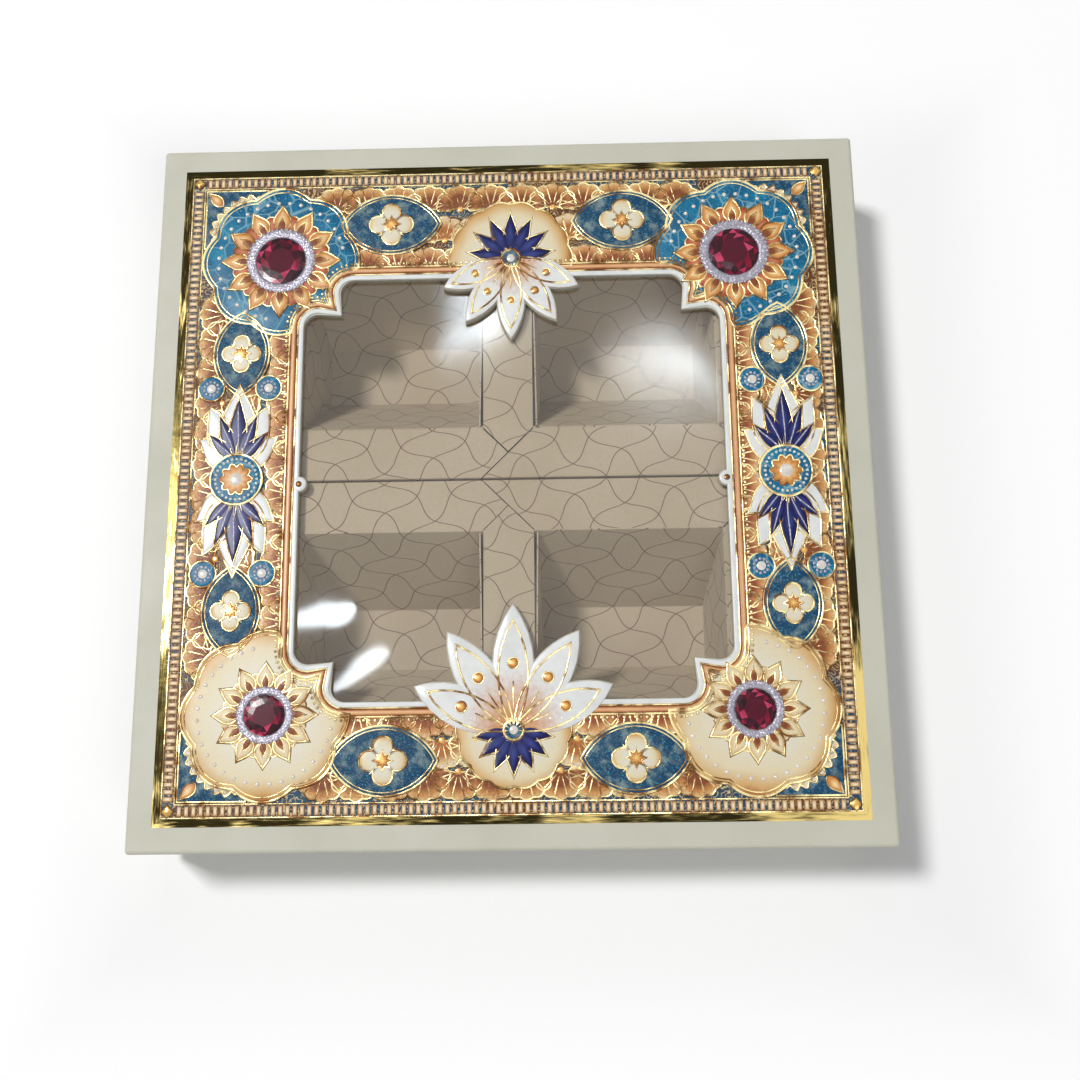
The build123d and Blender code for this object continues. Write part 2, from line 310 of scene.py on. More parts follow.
def makeMedallionIvory(name):
    p = Paint(name)
    grain, foot = p.tones[4:]
    drift = p.noise(34, 2, 0.5, seed=2)
    cloud = p.noise(6, 3, 0.6, seed=7)
    fine = p.noise(0.8, 2, 0.6, seed=9)
    # painted shading: darker towards the edge, with painted shade at the foot
    colour = p.ramp(p.reading("reach") + (drift - 0.5) * 0.5 + (cloud - 0.5) * 0.08, 0.5, 0.76, 0.92, 1.0)
    colour = p.mix(fine.ease(0.45, 0.8) * 0.15, colour, grain)
    return p.finish(colour=p.foot(colour, foot), normal=p.bump(cloud, 0.05), **enamelGloss)


def makeShellEnamel(name, seed):
    p = Paint(name)
    cloud = p.noise(12, 3, 0.6, seed=seed)
    scroll = p.scroll(2.6, 7, 0.2, seed + 1)
    # painted shading: dark at the root, light at the rim, with painted shade at the foot
    colour = p.ramp(p.reading("reach") + (cloud - 0.5) * 0.35, 0.5, 0.74, 0.98)
    colour = p.mix(scroll * 0.45, colour, p.tones[0])
    return p.finish(colour=p.foot(colour, p.tones[3]), normal=p.bump(scroll, 0.08), **enamelGloss)


def makeCopperBand(name):
    p = Paint(name)
    grain = p.noise(1.2, 3, 0.65, seed=3)
    cloud = p.noise(14, 3, 0.6, seed=6)
    # painted shading by height: dark at the foot, light on the top
    colour = p.ramp(p.reading("depth") + (cloud - 0.5) * 0.5, 0.1, 0.55, 0.95)
    colour = p.mix(grain.ease(0.5, 0.8) * 0.4, colour, p.tones[3])
    return p.finish(colour=colour, rough=0.36, shine=0.3, normal=p.bump(grain, 0.07), coat=0.12, coatRough=0.2)


def makePanelPrint(name):
    p = Paint(name)
    brown, blue, fleck, lines = p.tones
    cloud = p.noise(26, 3, 0.5, seed=12)
    scroll = p.scroll(4.5, 11, 0.2, 11)
    colour = p.mix(cloud.ease(0.42, 0.54), brown, blue)
    colour = p.mix(p.cells(0.9, seed=4).ease(0.1, 0.5, 0.35, 0.0), colour, fleck)
    colour = p.mix(scroll * 0.85, colour, lines)
    return p.finish(colour=colour, rough=0.42, shine=0.2, normal=p.bump(scroll, 0.06), coat=0.04, coatRough=0.3)


def makeReed(name):
    p = Paint(name)
    cloud = p.noise(30, 3, 0.5, seed=5)
    # painted shading by height: dark at the foot, light on the top
    return p.finish(colour=p.ramp(p.reading("depth") + (cloud - 0.5) * 0.4, 0.05, 0.4, 0.9), **enamelGloss)


def makeRuby(name):
    p = Paint(name)
    cloud = p.noise(4, 3, 0.7)
    # painted glints: the stored facet brightness picks the ruby tone
    colour = p.ramp(p.reading("spark") + (cloud - 0.5) * 0.4, 0.1, 0.5, 0.82, 0.97)
    return p.finish(colour=colour, rough=0.2, shine=0.2, coat=0.1, coatRough=0.12, normal=p.bump(cloud, 0.02))


def makeSilver(name):
    p = Paint(name)
    grain = p.cells(0.8, seed=2)
    cloud = p.noise(3, 2, 0.5)
    return p.finish(colour=p.mix(grain.ease(0.1, 0.55), *p.tones), metal=0.35,
                    rough=cloud.ease(0.3, 0.7, 0.25, 0.42), normal=p.bump(1 - grain, 0.2))


def makeAmber(name):
    p = Paint(name)
    # painted shading by height: dark at the foot, light on the top
    colour = p.ramp(p.reading("depth") + (p.noise(1.6, 2, 0.5) - 0.5) * 0.6, 0.1, 0.5, 0.95)
    return p.finish(colour=colour, rough=0.22, metal=0.35, coat=0.5, coatRough=0.1)


cardPrint = {"stepA": (9.0, -6.8), "stepB": (8.4, 7.8), "sway": 0.17, "wobble": 0.14, "line": (0.009, 0.022)}


def makeKraftCard(name):
    p = Paint(name)
    light, dark, hair, fleck, printed = p.tones
    # wavy lines: two crossing families on a skewed lattice of the flat sheet
    (ax, ay), (bx, by) = cardPrint["stepA"], cardPrint["stepB"]
    det = ax * by - ay * bx
    u, v = p.parts(p.place(1000, uv=True))[:2]
    wobble = (p.noise(30, 1, 0.4, seed=3, uv=True) - 0.5) * cardPrint["wobble"]
    a = (u * by - v * bx) / det + wobble
    b = (v * ax - u * ay) / det - wobble
    waves = [here - (other * math.pi).math("COSINE") * cardPrint["sway"] for here, other in ((b, a), (a, b))]
    inks = [1 - (wave - wave.math("ROUND")).math("ABSOLUTE").ease(*cardPrint["line"]) for wave in waves]
    ink = inks[0].math("MAXIMUM", inks[1])
    fibre = p.noise(0.9, 3, 0.65)
    cloud = p.noise(45, 3, 0.5, seed=8)
    colour = p.mix(cloud.ease(0.3, 0.7), light, dark)
    colour = p.mix(fibre.ease(0.4, 0.75) * 0.35, colour, hair)
    colour = p.mix(p.noise(0.45, 2, 0.8, seed=5).ease(0.68, 0.78) * 0.5, colour, fleck)
    colour = p.mix(ink * fibre.ease(0.2, 0.5, 0.65, 0.95), colour, printed)
    return p.finish(colour=colour, rough=0.78, normal=p.bump(fibre * 0.7 + cloud * 0.5, 0.05))


def makeFilm(name):
    p = Paint(name)
    smear = p.noise(40, 3, 0.5)
    haze = p.parts(p.place())[0].ease(-0.042, -0.012, 0.02, 0.1)  # duller towards the right
    gloss = p.add("BsdfPrincipled", {}, {"Base Color": p.tones[0], "Metallic": 1.0,
                                         "Roughness": haze + smear.ease(0.3, 0.7, 0.0, 0.03)})
    clear = p.add("BsdfTransparent", {}, {"Color": (0.985, 0.985, 0.98, 1)})
    edge = p.add("LayerWeight", {}, {"Blend": 0.25}, output=0)
    return p.show(p.add("MixShader", {}, {0: edge.ease(0.0, 1.0, 0.035, 0.35), 1: clear, 2: gloss}))


creamPaper, greyBoard = makeCreamPaper("creamPaper"), makeGreyBoard("greyBoard")
stayTape = makePlain("stayTape", (1.2, 4, 0.6), (1.2, 4, 0.6), 0.05, rough=0.7)
whitePaper = makePlain("whitePaper", (25, 3, 0.5), (0.7, 3, 0.6), 0.04, rough=0.8)
filmTape = makePlain("filmTape", (6, 3, 0.5), (6, 3, 0.5), 0.05, rough=0.4, coat=0.2)
pearl = makePlain("pearl", (2.5, 3, 0.5), (2.5, 3, 0.5), 0.02, rough=0.18, coat=0.7, coatRough=0.08)
borderFoil = makeBorderFoil("borderFoil")
goldLine, darkGold = makeGold("goldLine", 1, 0.75), makeGold("darkGold", 6, 0.85)
tealEnamel, grainedTeal = makeTealEnamel("tealEnamel"), makeGrainedTeal("grainedTeal")
navyEnamel, whiteEnamel = makeNavyEnamel("navyEnamel"), makeWhiteEnamel("whiteEnamel")
shellEnamels = [makeShellEnamel(*shell) for shell in (("amberShell", 3), ("ivoryShell", 8), ("peachShell", 13))]
peachEnamel, ivoryEnamel = makePetalEnamel("peachEnamel", 0), makePetalEnamel("ivoryEnamel", 9)
rustEnamel, medallionIvory = makePetalEnamel("rustEnamel", 4), makeMedallionIvory("medallionIvory")
copperBand, panelPrint = makeCopperBand("copperBand"), makePanelPrint("panelGround")
reededIvory = makeReed("reededIvory")
ruby, grainedSilver, amberBead = makeRuby("ruby"), makeSilver("grainedSilver"), makeAmber("amberBead")
kraftCard, clearFilm = makeKraftCard("kraftCard"), makeFilm("clearFilm")

cadFinish = {
    "lid_wrap": creamPaper, "base_wrap": creamPaper, "bottom_sheet": creamPaper,
    "lid_board": greyBoard, "base_board": greyBoard,
    "base_liner": whitePaper, "lid_liner": whitePaper, "foil_border": borderFoil,
}
for node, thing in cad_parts.items():
    finish = cadFinish.get(node)
    if "_stay_" in node:
        finish = stayTape
    elif node.startswith("film_tape"):
        finish = filmTape
    if finish:
        for slot in thing.material_slots:
            slot.material = finish
print("materials ready")


# Outlines are lists of points in millimetres.

def petalOutline(length, width, steps=8):  # two equal arcs, root at the origin, tip on +Y
    side = width / 2
    radius = (length * length / 4 + side * side) / (2 * side)
    half = math.asin(min(1.0, length / 2 / radius))
    right = [(side - radius + radius * math.cos(a), length / 2 + radius * math.sin(a))
             for a in (-half + 2 * half * i / steps for i in range(steps + 1))]
    left = [(-x, y) for x, y in reversed(right[1:-1])]
    return right + left


leafShape = {"steps": 7, "belly": 0.8, "fullness": 0.9, "taper": 0.45}


def ogeeOutline(length, width):  # a leaf with a drawn-out tip
    right = []
    for i in range(2 * leafShape["steps"] + 1):
        t = i / (2 * leafShape["steps"])
        swell = math.sin(math.pi * t ** leafShape["belly"]) ** leafShape["fullness"]
        right.append((width / 2 * swell * (1 - leafShape["taper"] * t ** 3), length * t))
    left = [(-x, y) for x, y in reversed(right[1:-1])]
    return right + left


def starOutline(radius, inner, tips):
    points = []
    for i in range(2 * tips):
        r = radius if i % 2 == 0 else inner
        a = math.pi * i / tips
        points.append((r * math.cos(a), r * math.sin(a)))
    return points


def roundOutline(radius, steps=32, lobes=0, lobe=0.0):
    points = []
    for i in range(steps):
        a = math.tau * i / steps
        r = radius * (1 + lobe * abs(math.cos(a * lobes / 2))) if lobes else radius
        points.append((r * math.cos(a), r * math.sin(a)))
    return points


def boxOutline(halfX, halfY):
    return [(-halfX, -halfY), (halfX, -halfY), (halfX, halfY), (-halfX, halfY)]


def moved(points, x=0.0, y=0.0, turn=0.0, scale=1.0):
    cosine, sine = math.cos(turn) * scale, math.sin(turn) * scale
    return [(px * cosine - py * sine + x, px * sine + py * cosine + y) for px, py in points]


def circlesAt(spots, radius, steps):
    return [moved(roundOutline(radius, steps), x, y) for x, y in spots]


barbedShape = {"steps": 9, "sweep": 1.75, "centre": 0.52, "lobe": 0.42, "point": 0.78}  # shares of the size


def barbedOutline(size):  # four round lobes with a point between each pair
    sweep, lobe, point = barbedShape["sweep"], size * barbedShape["lobe"], size * barbedShape["point"]
    angles = [sweep * (2 * i / (barbedShape["steps"] - 1) - 1) for i in range(barbedShape["steps"])]
    quarter = [(size * barbedShape["centre"] + lobe * math.cos(a), lobe * math.sin(a)) for a in angles]
    quarter.append((point * math.cos(math.pi / 4), point * math.sin(math.pi / 4)))
    return [p for k in range(4) for p in moved(quarter, turn=k * math.pi / 2)]


def anticlockwise(points):
    area = sum(a[0] * b[1] - b[0] * a[1] for a, b in zip(points, points[1:] + points[:1]))
    return list(points) if area > 0 else list(reversed(points))


def inset(points, distance):  # for an anticlockwise outline
    result = []
    for i, p in enumerate(points):
        before, after = Vector(points[i - 1]), Vector(points[(i + 1) % len(points)])
        here = Vector(p)
        d1, d2 = (here - before).normalized(), (after - here).normalized()
        n1, n2 = Vector((-d1.y, d1.x)), Vector((-d2.y, d2.x))
        n = (n1 + n2).normalized() if (n1 + n2).length > 1e-6 else n1
        reach = distance / max(0.45, n.dot(n1))
        result.append(tuple(here + n * reach))
    return result


window = {"width": 149.0, "length": 152.0, "shiftX": 1.5, "shiftY": -2.0, "notch": 12.4, "notchTip": 13.6,
          "round": 5.0, "steps": 7, "knob": 2.8, "backReach": 24.0, "frontReach": 33.0, "petalShare": 0.44,
          "root": 0.30}


def windowOutline(grow=0.0):
    hx, hy, r = window["width"] / 2, window["length"] / 2, window["round"]
    turns = [math.pi / 2 * i / (window["steps"] - 1) for i in range(window["steps"])]
    centres = (hx - r, hy - window["notch"] - r), (hx - window["notch"] - r, hy - r)
    first, second = ([(x + (r + grow) * math.cos(a), y + (r + grow) * math.sin(a)) for a in turns]
                     for x, y in centres)
    corner = [*first, (hx - window["notchTip"] + grow, hy - window["notchTip"] + grow), *second]
    points = corner + [(-x, y) for x, y in reversed(corner)]
    points += [(-x, -y) for x, y in corner] + [(x, -y) for x, y in reversed(corner)]
    return moved(points, window["shiftX"], window["shiftY"])


def offWindow(points, centre, gap):  # pulls an outline back where it would reach into the window
    edge = windowOutline(gap)
    c = Vector(centre)
    kept = []
    for point in points:
        d = Vector(point) - c
        share = 1.0
        for i, a in enumerate(edge):
            a, b = Vector(a), Vector(edge[(i + 1) % len(edge)])
            e = b - a
            cross = d.x * e.y - d.y * e.x
            if abs(cross) < 1e-9:
                continue
            t = ((a - c).x * e.y - (a - c).y * e.x) / cross
            s = ((a - c).x * d.y - (a - c).y * d.x) / cross
            if 0 < t < share and 0 <= s <= 1:
                share = t
        kept.append(tuple(c + d * share))
    return kept


fanShape = {"steps": 6, "scallop": 0.07, "narrow": 0.16, "ribs": (0.2, 0.4, 0.6, 0.78, 0.88)}


def fanOutline(radius, lobes=7, spread=1.75):  # root at the origin, opening towards -Y
    points = [(0.0, 0.0)]
    for i in range(lobes * fanShape["steps"] + 1):
        t = 2 * i / (lobes * fanShape["steps"]) - 1
        lobe = 1 - fanShape["scallop"] * (1 - abs(math.sin(math.pi * i / fanShape["steps"])))
        r = radius * lobe * (1 - fanShape["narrow"] * t ** 4)
        points.append((r * math.sin(spread * t), -r * math.cos(spread * t)))
    return points


def fanRibs(radius, lobes=7, spread=1.75):
    angles = [spread * (2 * k / lobes - 1) for k in range(1, lobes)]
    return [[(t * radius * math.sin(a), -t * radius * math.cos(a)) for t in fanShape["ribs"]] for a in angles]


def newPiece(name, mesh, finish, body="lid", smooth=True):
    piece = bpy.data.objects.new(name, mesh)
    scene.collection.objects.link(piece)
    mesh.materials.clear()
    mesh.materials.append(finish)
    for face in mesh.polygons:
        face.use_smooth = smooth
    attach(piece, body)
    return piece


# shares of a plate's bevel, a line's width and height, and a stone's radius and height
edgeSteps = ((0.0, 1.0, 0.0), (0.35, 0.3, 0.04), (1.0, 0.0, 0.1))
lineShape = {"section": ((-0.5, 0.0), (-0.36, 0.75), (0.0, 1.0), (0.36, 0.75), (0.5, 0.0)), "tip": 0.25,
             "stroke": 0.85}
stoneCut = {"sides": 16, "girdle": 0.35, "shoulder": 0.72, "shoulderWidth": 0.82, "table": 0.56,
            "tableGlint": 0.45, "facetGlints": (0.1, 0.88, 1.7)}  # painted glints on the facets: least, range, power


class Builder:  # collects points, faces and the stored numbers of one mesh
    def __init__(self):
        self.points, self.faces, self.depth, self.uv, self.reach = [], [], [], [], []
        self.root, self.size = None, 1.0

    def add(self, x, y, z, depth, uv):
        self.points.append((x * mm, y * mm, z * mm))
        self.depth.append(depth)
        self.uv.append(uv)
        self.reach.append(math.hypot(x - self.root[0], y - self.root[1]) / self.size if self.root else 1.0)
        return len(self.points) - 1

    def ringOf(self, outline, z, depth, v=0.0):
        return [self.add(x, y, z, depth, (i / len(outline), v)) for i, (x, y) in enumerate(outline)]

    def bridge(self, low, high):
        for i in range(len(low)):
            j = (i + 1) % len(low)
            self.faces.append((low[i], low[j], high[j], high[i]))

    def cap(self, ring, x, y, z, depth):
        middle = self.add(x, y, z, depth, (0.5, 1.0))
        for i in range(len(ring)):
            self.faces.append((ring[i], ring[(i + 1) % len(ring)], middle))

    def mesh(self, name, recalculate=False):
        mesh = bpy.data.meshes.new(name)
        mesh.from_pydata(self.points, [], self.faces)
        mesh.attributes.new("depth", "FLOAT", "POINT").data.foreach_set("value", self.depth)
        mesh.attributes.new("reach", "FLOAT", "POINT").data.foreach_set("value", self.reach)
        layer = mesh.uv_layers.new(name="UVMap")
        for loop in mesh.loops:
            layer.data[loop.index].uv = self.uv[loop.vertex_index]
        mesh.validate()
        if recalculate:
            work = bmesh.new()
            work.from_mesh(mesh)
            bmesh.ops.recalc_face_normals(work, faces=work.faces)
            work.to_mesh(mesh)
            work.free()
        return mesh

    def plate(self, outline, base, height, crown, bevel, rounds=3, root=None):  # a flat form with a crowned top
        if root:
            self.root, self.size = root, max(math.dist(root, p) for p in outline)
        outline = anticlockwise(outline)
        last = self.ringOf(outline, base, 0.0, 0.0)
        self.faces.append(tuple(reversed(last)))
        for across, down, depth in edgeSteps:
            ring = self.ringOf(inset(outline, across * bevel), base + height - down * bevel, depth, depth)
            self.bridge(last, ring)
            last = ring
        rim = inset(outline, bevel)
        cx, cy = sum(p[0] for p in rim) / len(rim), sum(p[1] for p in rim) / len(rim)
        for k in range(1, rounds):
            t = 1 - k / rounds
            ring = self.ringOf([(cx + (x - cx) * t, cy + (y - cy) * t) for x, y in rim],
                               base + height + crown * (1 - t * t), 1 - 0.9 * t, 1 - t)
            self.bridge(last, ring)
            last = ring
        self.cap(last, cx, cy, base + height + crown, 1.0)

    def line(self, path, width, height, base, closed=True):  # a rounded line, thinner at its open ends
        pts = [Vector(p) for p in (anticlockwise(path) if closed else path)]
        if closed and (pts[0] - pts[-1]).length < 1e-6:
            pts.pop()
        count, section, tip = len(pts), lineShape["section"], lineShape["tip"]
        rows = []
        for i, here in enumerate(pts):
            before = pts[i - 1] if closed or i else here
            after = pts[(i + 1) % count] if closed or i < count - 1 else here
            d1 = (here - before).normalized() if (here - before).length > 1e-7 else (after - here).normalized()
            d2 = (after - here).normalized() if (after - here).length > 1e-7 else d1
            n1, n2 = Vector((-d1.y, d1.x)), Vector((-d2.y, d2.x))
            n = (n1 + n2).normalized() if (n1 + n2).length > 1e-6 else n1
            stretch = 1 / max(0.5, n.dot(n1))
            size = 1.0 if closed else tip + (1 - tip) * math.sin(math.pi * min(1, (i + 0.4) / count)) ** 0.5
            row = []
            for across, up in section:
                spot = here + n * (across * width * stretch * size)
                row.append(self.add(spot.x, spot.y, base + up * height, up, (i / count, across + 0.5)))
            rows.append(row)
        for i in range(count if closed else count - 1):
            a, b = rows[i], rows[(i + 1) % count]
            for k in range(len(section)):
                j = (k + 1) % len(section)
                self.faces.append((a[k], b[k], b[j], a[j]))
        if not closed:
            self.faces.append(tuple(rows[0]))
            self.faces.append(tuple(reversed(rows[-1])))

    def rings(self, profile, outlineAt):  # profile: what outlineAt is given, height and stored depth
        loops = [self.ringOf(outlineAt(given), z, depth, given) for given, z, depth in profile]
        for i, loop in enumerate(loops):
            self.bridge(loop, loops[(i + 1) % len(loops)])

    def stone(self, x, y, base, radius, height):  # a round cut stone
        sides = stoneCut["sides"]

        def circle(share, count, up, depth, turn=0.0):
            outline = moved(roundOutline(radius * share, count), x, y, turn)
            return self.ringOf(outline, base + height * up, depth)

        girdle, edge = circle(1.0, sides, 0.0, 0.0), circle(1.0, sides, stoneCut["girdle"], 0.1)
        middle = circle(stoneCut["shoulderWidth"], sides, stoneCut["shoulder"], 0.4, math.pi / sides)
        top = circle(stoneCut["table"], sides // 2, 1.0, 0.8)
        self.faces.append(tuple(reversed(girdle)))
        self.bridge(girdle, edge)
        for i in range(sides):
            j = (i + 1) % sides
            self.faces += [(edge[i], edge[j], middle[i]), (edge[j], middle[j], middle[i])]
        for k in range(sides // 2):
            a, b, c = middle[2 * k - 1], middle[2 * k], middle[(2 * k + 1) % sides]
            here, after = top[k], top[(k + 1) % len(top)]
            self.faces += [(a, b, here), (b, c, after), (b, after, here)]
        self.faces.append(tuple(top))


panel = {"half": 115.6, "reedInner": 111.2, "ground": 0.08, "bandGap": 5.8, "windowEdge": 0.3}
groundTop = lidTop + panel["ground"]
windowSides = {
    "left": -window["width"] / 2 + window["shiftX"], "right": window["width"] / 2 + window["shiftX"],
    "back": window["length"] / 2 + window["shiftY"], "front": -window["length"] / 2 + window["shiftY"],
}


# A layer of the panel is four millimetre values. A plate has its lift above the printed ground, height, crown
# and bevel. A gold line has its lift, height, width and the inset from the outline it follows.

def plateMesh(name, outlines, layer, base=0.0, roots=None, rounds=3):
    lift, height, crown, bevel = layer
    b = Builder()
    for i, outline in enumerate(outlines):
        b.plate(outline, base + lift, height, crown, bevel, rounds, roots[i] if roots else None)
    return b.mesh(name)


def lineMesh(name, paths, layer, base=0.0, closed=True, strokes=()):  # strokes: thinner open lines inside the rim
    lift, height, width, gap = layer
    b = Builder()
    for path in paths:
        b.line(inset(anticlockwise(path), gap) if closed else path, width, height, base + lift, closed)
    for stroke in strokes:
        b.line(stroke, width * lineShape["stroke"], height, base + lift, closed=False)
    return b.mesh(name, recalculate=True)


def beadMesh(radius, height=0.7, sides=10, lift=0.0):  # height: share of the radius
    b = Builder()
    last = b.ringOf(roundOutline(radius, sides), lift, 0.0)
    b.faces.append(tuple(reversed(last)))
    for k in range(1, 4):
        a = math.pi / 2 * k / 4
        ring = b.ringOf(roundOutline(radius * math.cos(a), sides), lift + radius * height * math.sin(a), k / 4)
        b.bridge(last, ring)
        last = ring
    b.cap(last, 0, 0, lift + radius * height, 1.0)
    return b.mesh("bead")


def platePiece(name, outlines, layer, finish, roots=None, rounds=3):
    return newPiece(name, plateMesh(name, outlines, layer, groundTop, roots, rounds), finish)


def linePiece(name, paths, layer, finish=goldLine, closed=True):
    return newPiece(name, lineMesh(name, paths, layer, groundTop, closed), finish)


def motifTree():  # Geometry Nodes that set a motif at even steps along a path
    tree = bpy.data.node_groups.new("motifAlongPath", "GeometryNodeTree")
    sockets = {}
    for name, kind in (("Path", "Geometry"), ("Motif", "Object"), ("Count", "Int"), ("Swell", "Float"),
                       ("Finish", "Material")):
        sockets[name] = tree.interface.new_socket(name, in_out="INPUT", socket_type="NodeSocket" + kind)
    tree.interface.new_socket("Pieces", in_out="OUTPUT", socket_type="NodeSocketGeometry")

    def add(kind, **settings):
        node = tree.nodes.new(kind)
        for key, value in settings.items():
            setattr(node, key, value)
        return node

    def join(source, output, target, entry):
        tree.links.new(source.outputs[output], target.inputs[entry])

    given, result = add("NodeGroupInput"), add("NodeGroupOutput")
    curve = add("GeometryNodeMeshToCurve")
    spots = add("GeometryNodeCurveToPoints", mode="COUNT")
    motif = add("GeometryNodeObjectInfo")
    facing = add("FunctionNodeAlignRotationToVector", axis="X", pivot_axis="Z")
    uneven = add("FunctionNodeRandomValue", data_type="FLOAT")
    uneven.inputs["Seed"].default_value = 7
    low = add("ShaderNodeMath", operation="SUBTRACT")
    low.inputs[0].default_value = 1.0
    placeMotif = add("GeometryNodeInstanceOnPoints")
    real, paint = add("GeometryNodeRealizeInstances"), add("GeometryNodeSetMaterial")
    join(given, "Path", curve, "Mesh")
    join(curve, 0, spots, 0)
    join(given, "Count", spots, "Count")
    join(spots, "Tangent", facing, "Vector")
    join(given, "Swell", low, 1)
    join(low, 0, uneven, 2)
    uneven.inputs[3].default_value = 1.0
    join(given, "Motif", motif, 0)
    join(spots, "Points", placeMotif, "Points")
    join(motif, "Geometry", placeMotif, "Instance")
    join(facing, 0, placeMotif, "Rotation")
    join(uneven, 1, placeMotif, "Scale")
    join(placeMotif, 0, real, 0)
    join(real, 0, paint, 0)
    join(given, "Finish", paint, "Material")
    join(paint, 0, result, 0)
    return tree, {name: socket.identifier for name, socket in sockets.items()}


motifNodes, motifInputs = motifTree()


def alongPaths(name, paths, motif, finish, base=groundTop, closed=True, swell=0.0, smooth=True):
    # paths: (points, count); motif: a mesh about the origin with +X along the path; swell: how uneven the sizes are
    stamp = bpy.data.objects.new(name + "Motif", motif)
    scene.collection.objects.link(stamp)
    made = bpy.data.meshes.new(name)
    work = bmesh.new()
    for points, count in paths:
        track = bpy.data.meshes.new(name + "Track")
        n = len(points)
        edges = [(i, (i + 1) % n) for i in range(n if closed else n - 1)]
        track.from_pydata([(x * mm, y * mm, base * mm) for x, y in points], edges, [])
        carrier = bpy.data.objects.new(name + "Track", track)
        scene.collection.objects.link(carrier)
        nodes = carrier.modifiers.new("motifs", "NODES")
        nodes.node_group = motifNodes
        for key, value in (("Motif", stamp), ("Count", count), ("Swell", swell), ("Finish", finish)):
            nodes[motifInputs[key]] = value
        graph = bpy.context.evaluated_depsgraph_get()
        part = bpy.data.meshes.new_from_object(carrier.evaluated_get(graph), preserve_all_data_layers=True,
                                               depsgraph=graph)
        work.from_mesh(part)
        bpy.data.objects.remove(carrier)
        bpy.data.meshes.remove(part)
    work.to_mesh(made)
    work.free()
    bpy.data.objects.remove(stamp)
    return newPiece(name, made, finish, smooth=smooth)


def makePanelGround():
    work = bmesh.new()
    edges = []
    for outline in (boxOutline(panel["half"], panel["half"]), windowOutline(panel["windowEdge"])):
        ring = [work.verts.new((x * mm, y * mm, lidTop * mm)) for x, y in outline]
        for i, v in enumerate(ring):
            edges.append(work.edges.new((v, ring[(i + 1) % len(ring)])))
    bmesh.ops.triangle_fill(work, edges=edges, use_beauty=True)
    grown = bmesh.ops.extrude_face_region(work, geom=list(work.faces))
    raised = [g for g in grown["geom"] if isinstance(g, bmesh.types.BMVert)]
    bmesh.ops.translate(work, vec=(0, 0, panel["ground"] * mm), verts=raised)
    bmesh.ops.recalc_face_normals(work, faces=work.faces)
    mesh = bpy.data.meshes.new("panelGround")
    work.to_mesh(mesh)
    work.free()
    newPiece("panelGround", mesh, panelPrint, smooth=False)


moulding = {  # each ring: distance out from the window's edge, height above the lid, stored depth
    "windowMargin": (whiteEnamel, [(0.12, 0.0, 0.5), (0.12, 0.38, 0.5), (0.3, 0.46, 0.6), (1.7, 0.46, 0.6),
                                   (1.9, 0.36, 0.5), (1.9, 0.0, 0.5)]),
    "innerGoldRim": (goldLine, [(1.75, 0.05, 0), (1.75, 0.56, 0.4), (2.05, 0.72, 1), (2.35, 0.56, 0.4),
                                (2.35, 0.05, 0)]),
    "windowMoulding": (copperBand, [(2.3, 0.05, 0), (2.4, 0.46, 0.15), (2.9, 0.62, 0.6), (3.5, 0.68, 1),
                                    (4.1, 0.6, 0.7), (4.6, 0.46, 0.15), (4.7, 0.05, 0)]),
    "outerGoldRim": (goldLine, [(4.6, 0.05, 0), (4.6, 0.58, 0.4), (4.95, 0.74, 1), (5.3, 0.58, 0.4),
                                (5.3, 0.05, 0)]),
}
mouldingBeads = {"out": 6.1, "count": 330, "radius": 0.62, "lift": 0.45, "uneven": 0.15}


def makeMoulding():
    for name, (finish, profile) in moulding.items():
        b = Builder()
        b.rings([(out, lidTop + z, depth) for out, z, depth in profile], windowOutline)
        newPiece(name, b.mesh(name, recalculate=True), finish)
    track = windowOutline(mouldingBeads["out"])
    alongPaths("mouldingBeads", [(track, mouldingBeads["count"])], beadMesh(mouldingBeads["radius"]), goldLine,
               lidTop + mouldingBeads["lift"], swell=mouldingBeads["uneven"])


makePanelGround()
makeMoulding()
print("panel ground and window moulding made")


shells = {"radius": 10.0, "pitch": 11.6, "rows": 3, "run": 62.0, "tuck": 3.0, "step": 0.05, "ribReach": 0.95,
          "plate": (0.0, 0.14, 0.06, 0.4), "rim": (0.07, 0.18, 0.7, 0.45), "boss": (1.3, 0.2, 12, 0.08)}


def shellRows():
    radius, last = shells["radius"], shells["rows"] - 1
    shape, ribs = fanOutline(radius), fanRibs(radius * shells["ribReach"])
    for k in range(shells["rows"]):
        paths = []
        for turn, side in enumerate(("front", "right", "back", "left")):
            edge = abs(windowSides[side]) + panel["bandGap"] - shells["tuck"]
            place = edge + (panel["reedInner"] - radius - edge) * (1 - k / last)
            run = shells["run"] - (shells["pitch"] / 2 if k % 2 else 0)
            ends = moved([(-run, -place), (run, -place)], turn=turn * math.pi / 2)
            paths.append((ends, int(round(2 * run / shells["pitch"])) + 1))
        motifs = [("shellRow", plateMesh("shell", [shape], shells["plate"], roots=[(0, 0)]), shellEnamels[k]),
                  ("shellRim", lineMesh("rim", [shape], shells["rim"], strokes=ribs), goldLine)]
        if k < last:
            motifs.append(("shellBoss", beadMesh(*shells["boss"]), amberBead))
        for name, motif, finish in motifs:
            alongPaths(name + str(k), paths, motif, finish, groundTop + shells["step"] * k, closed=False)


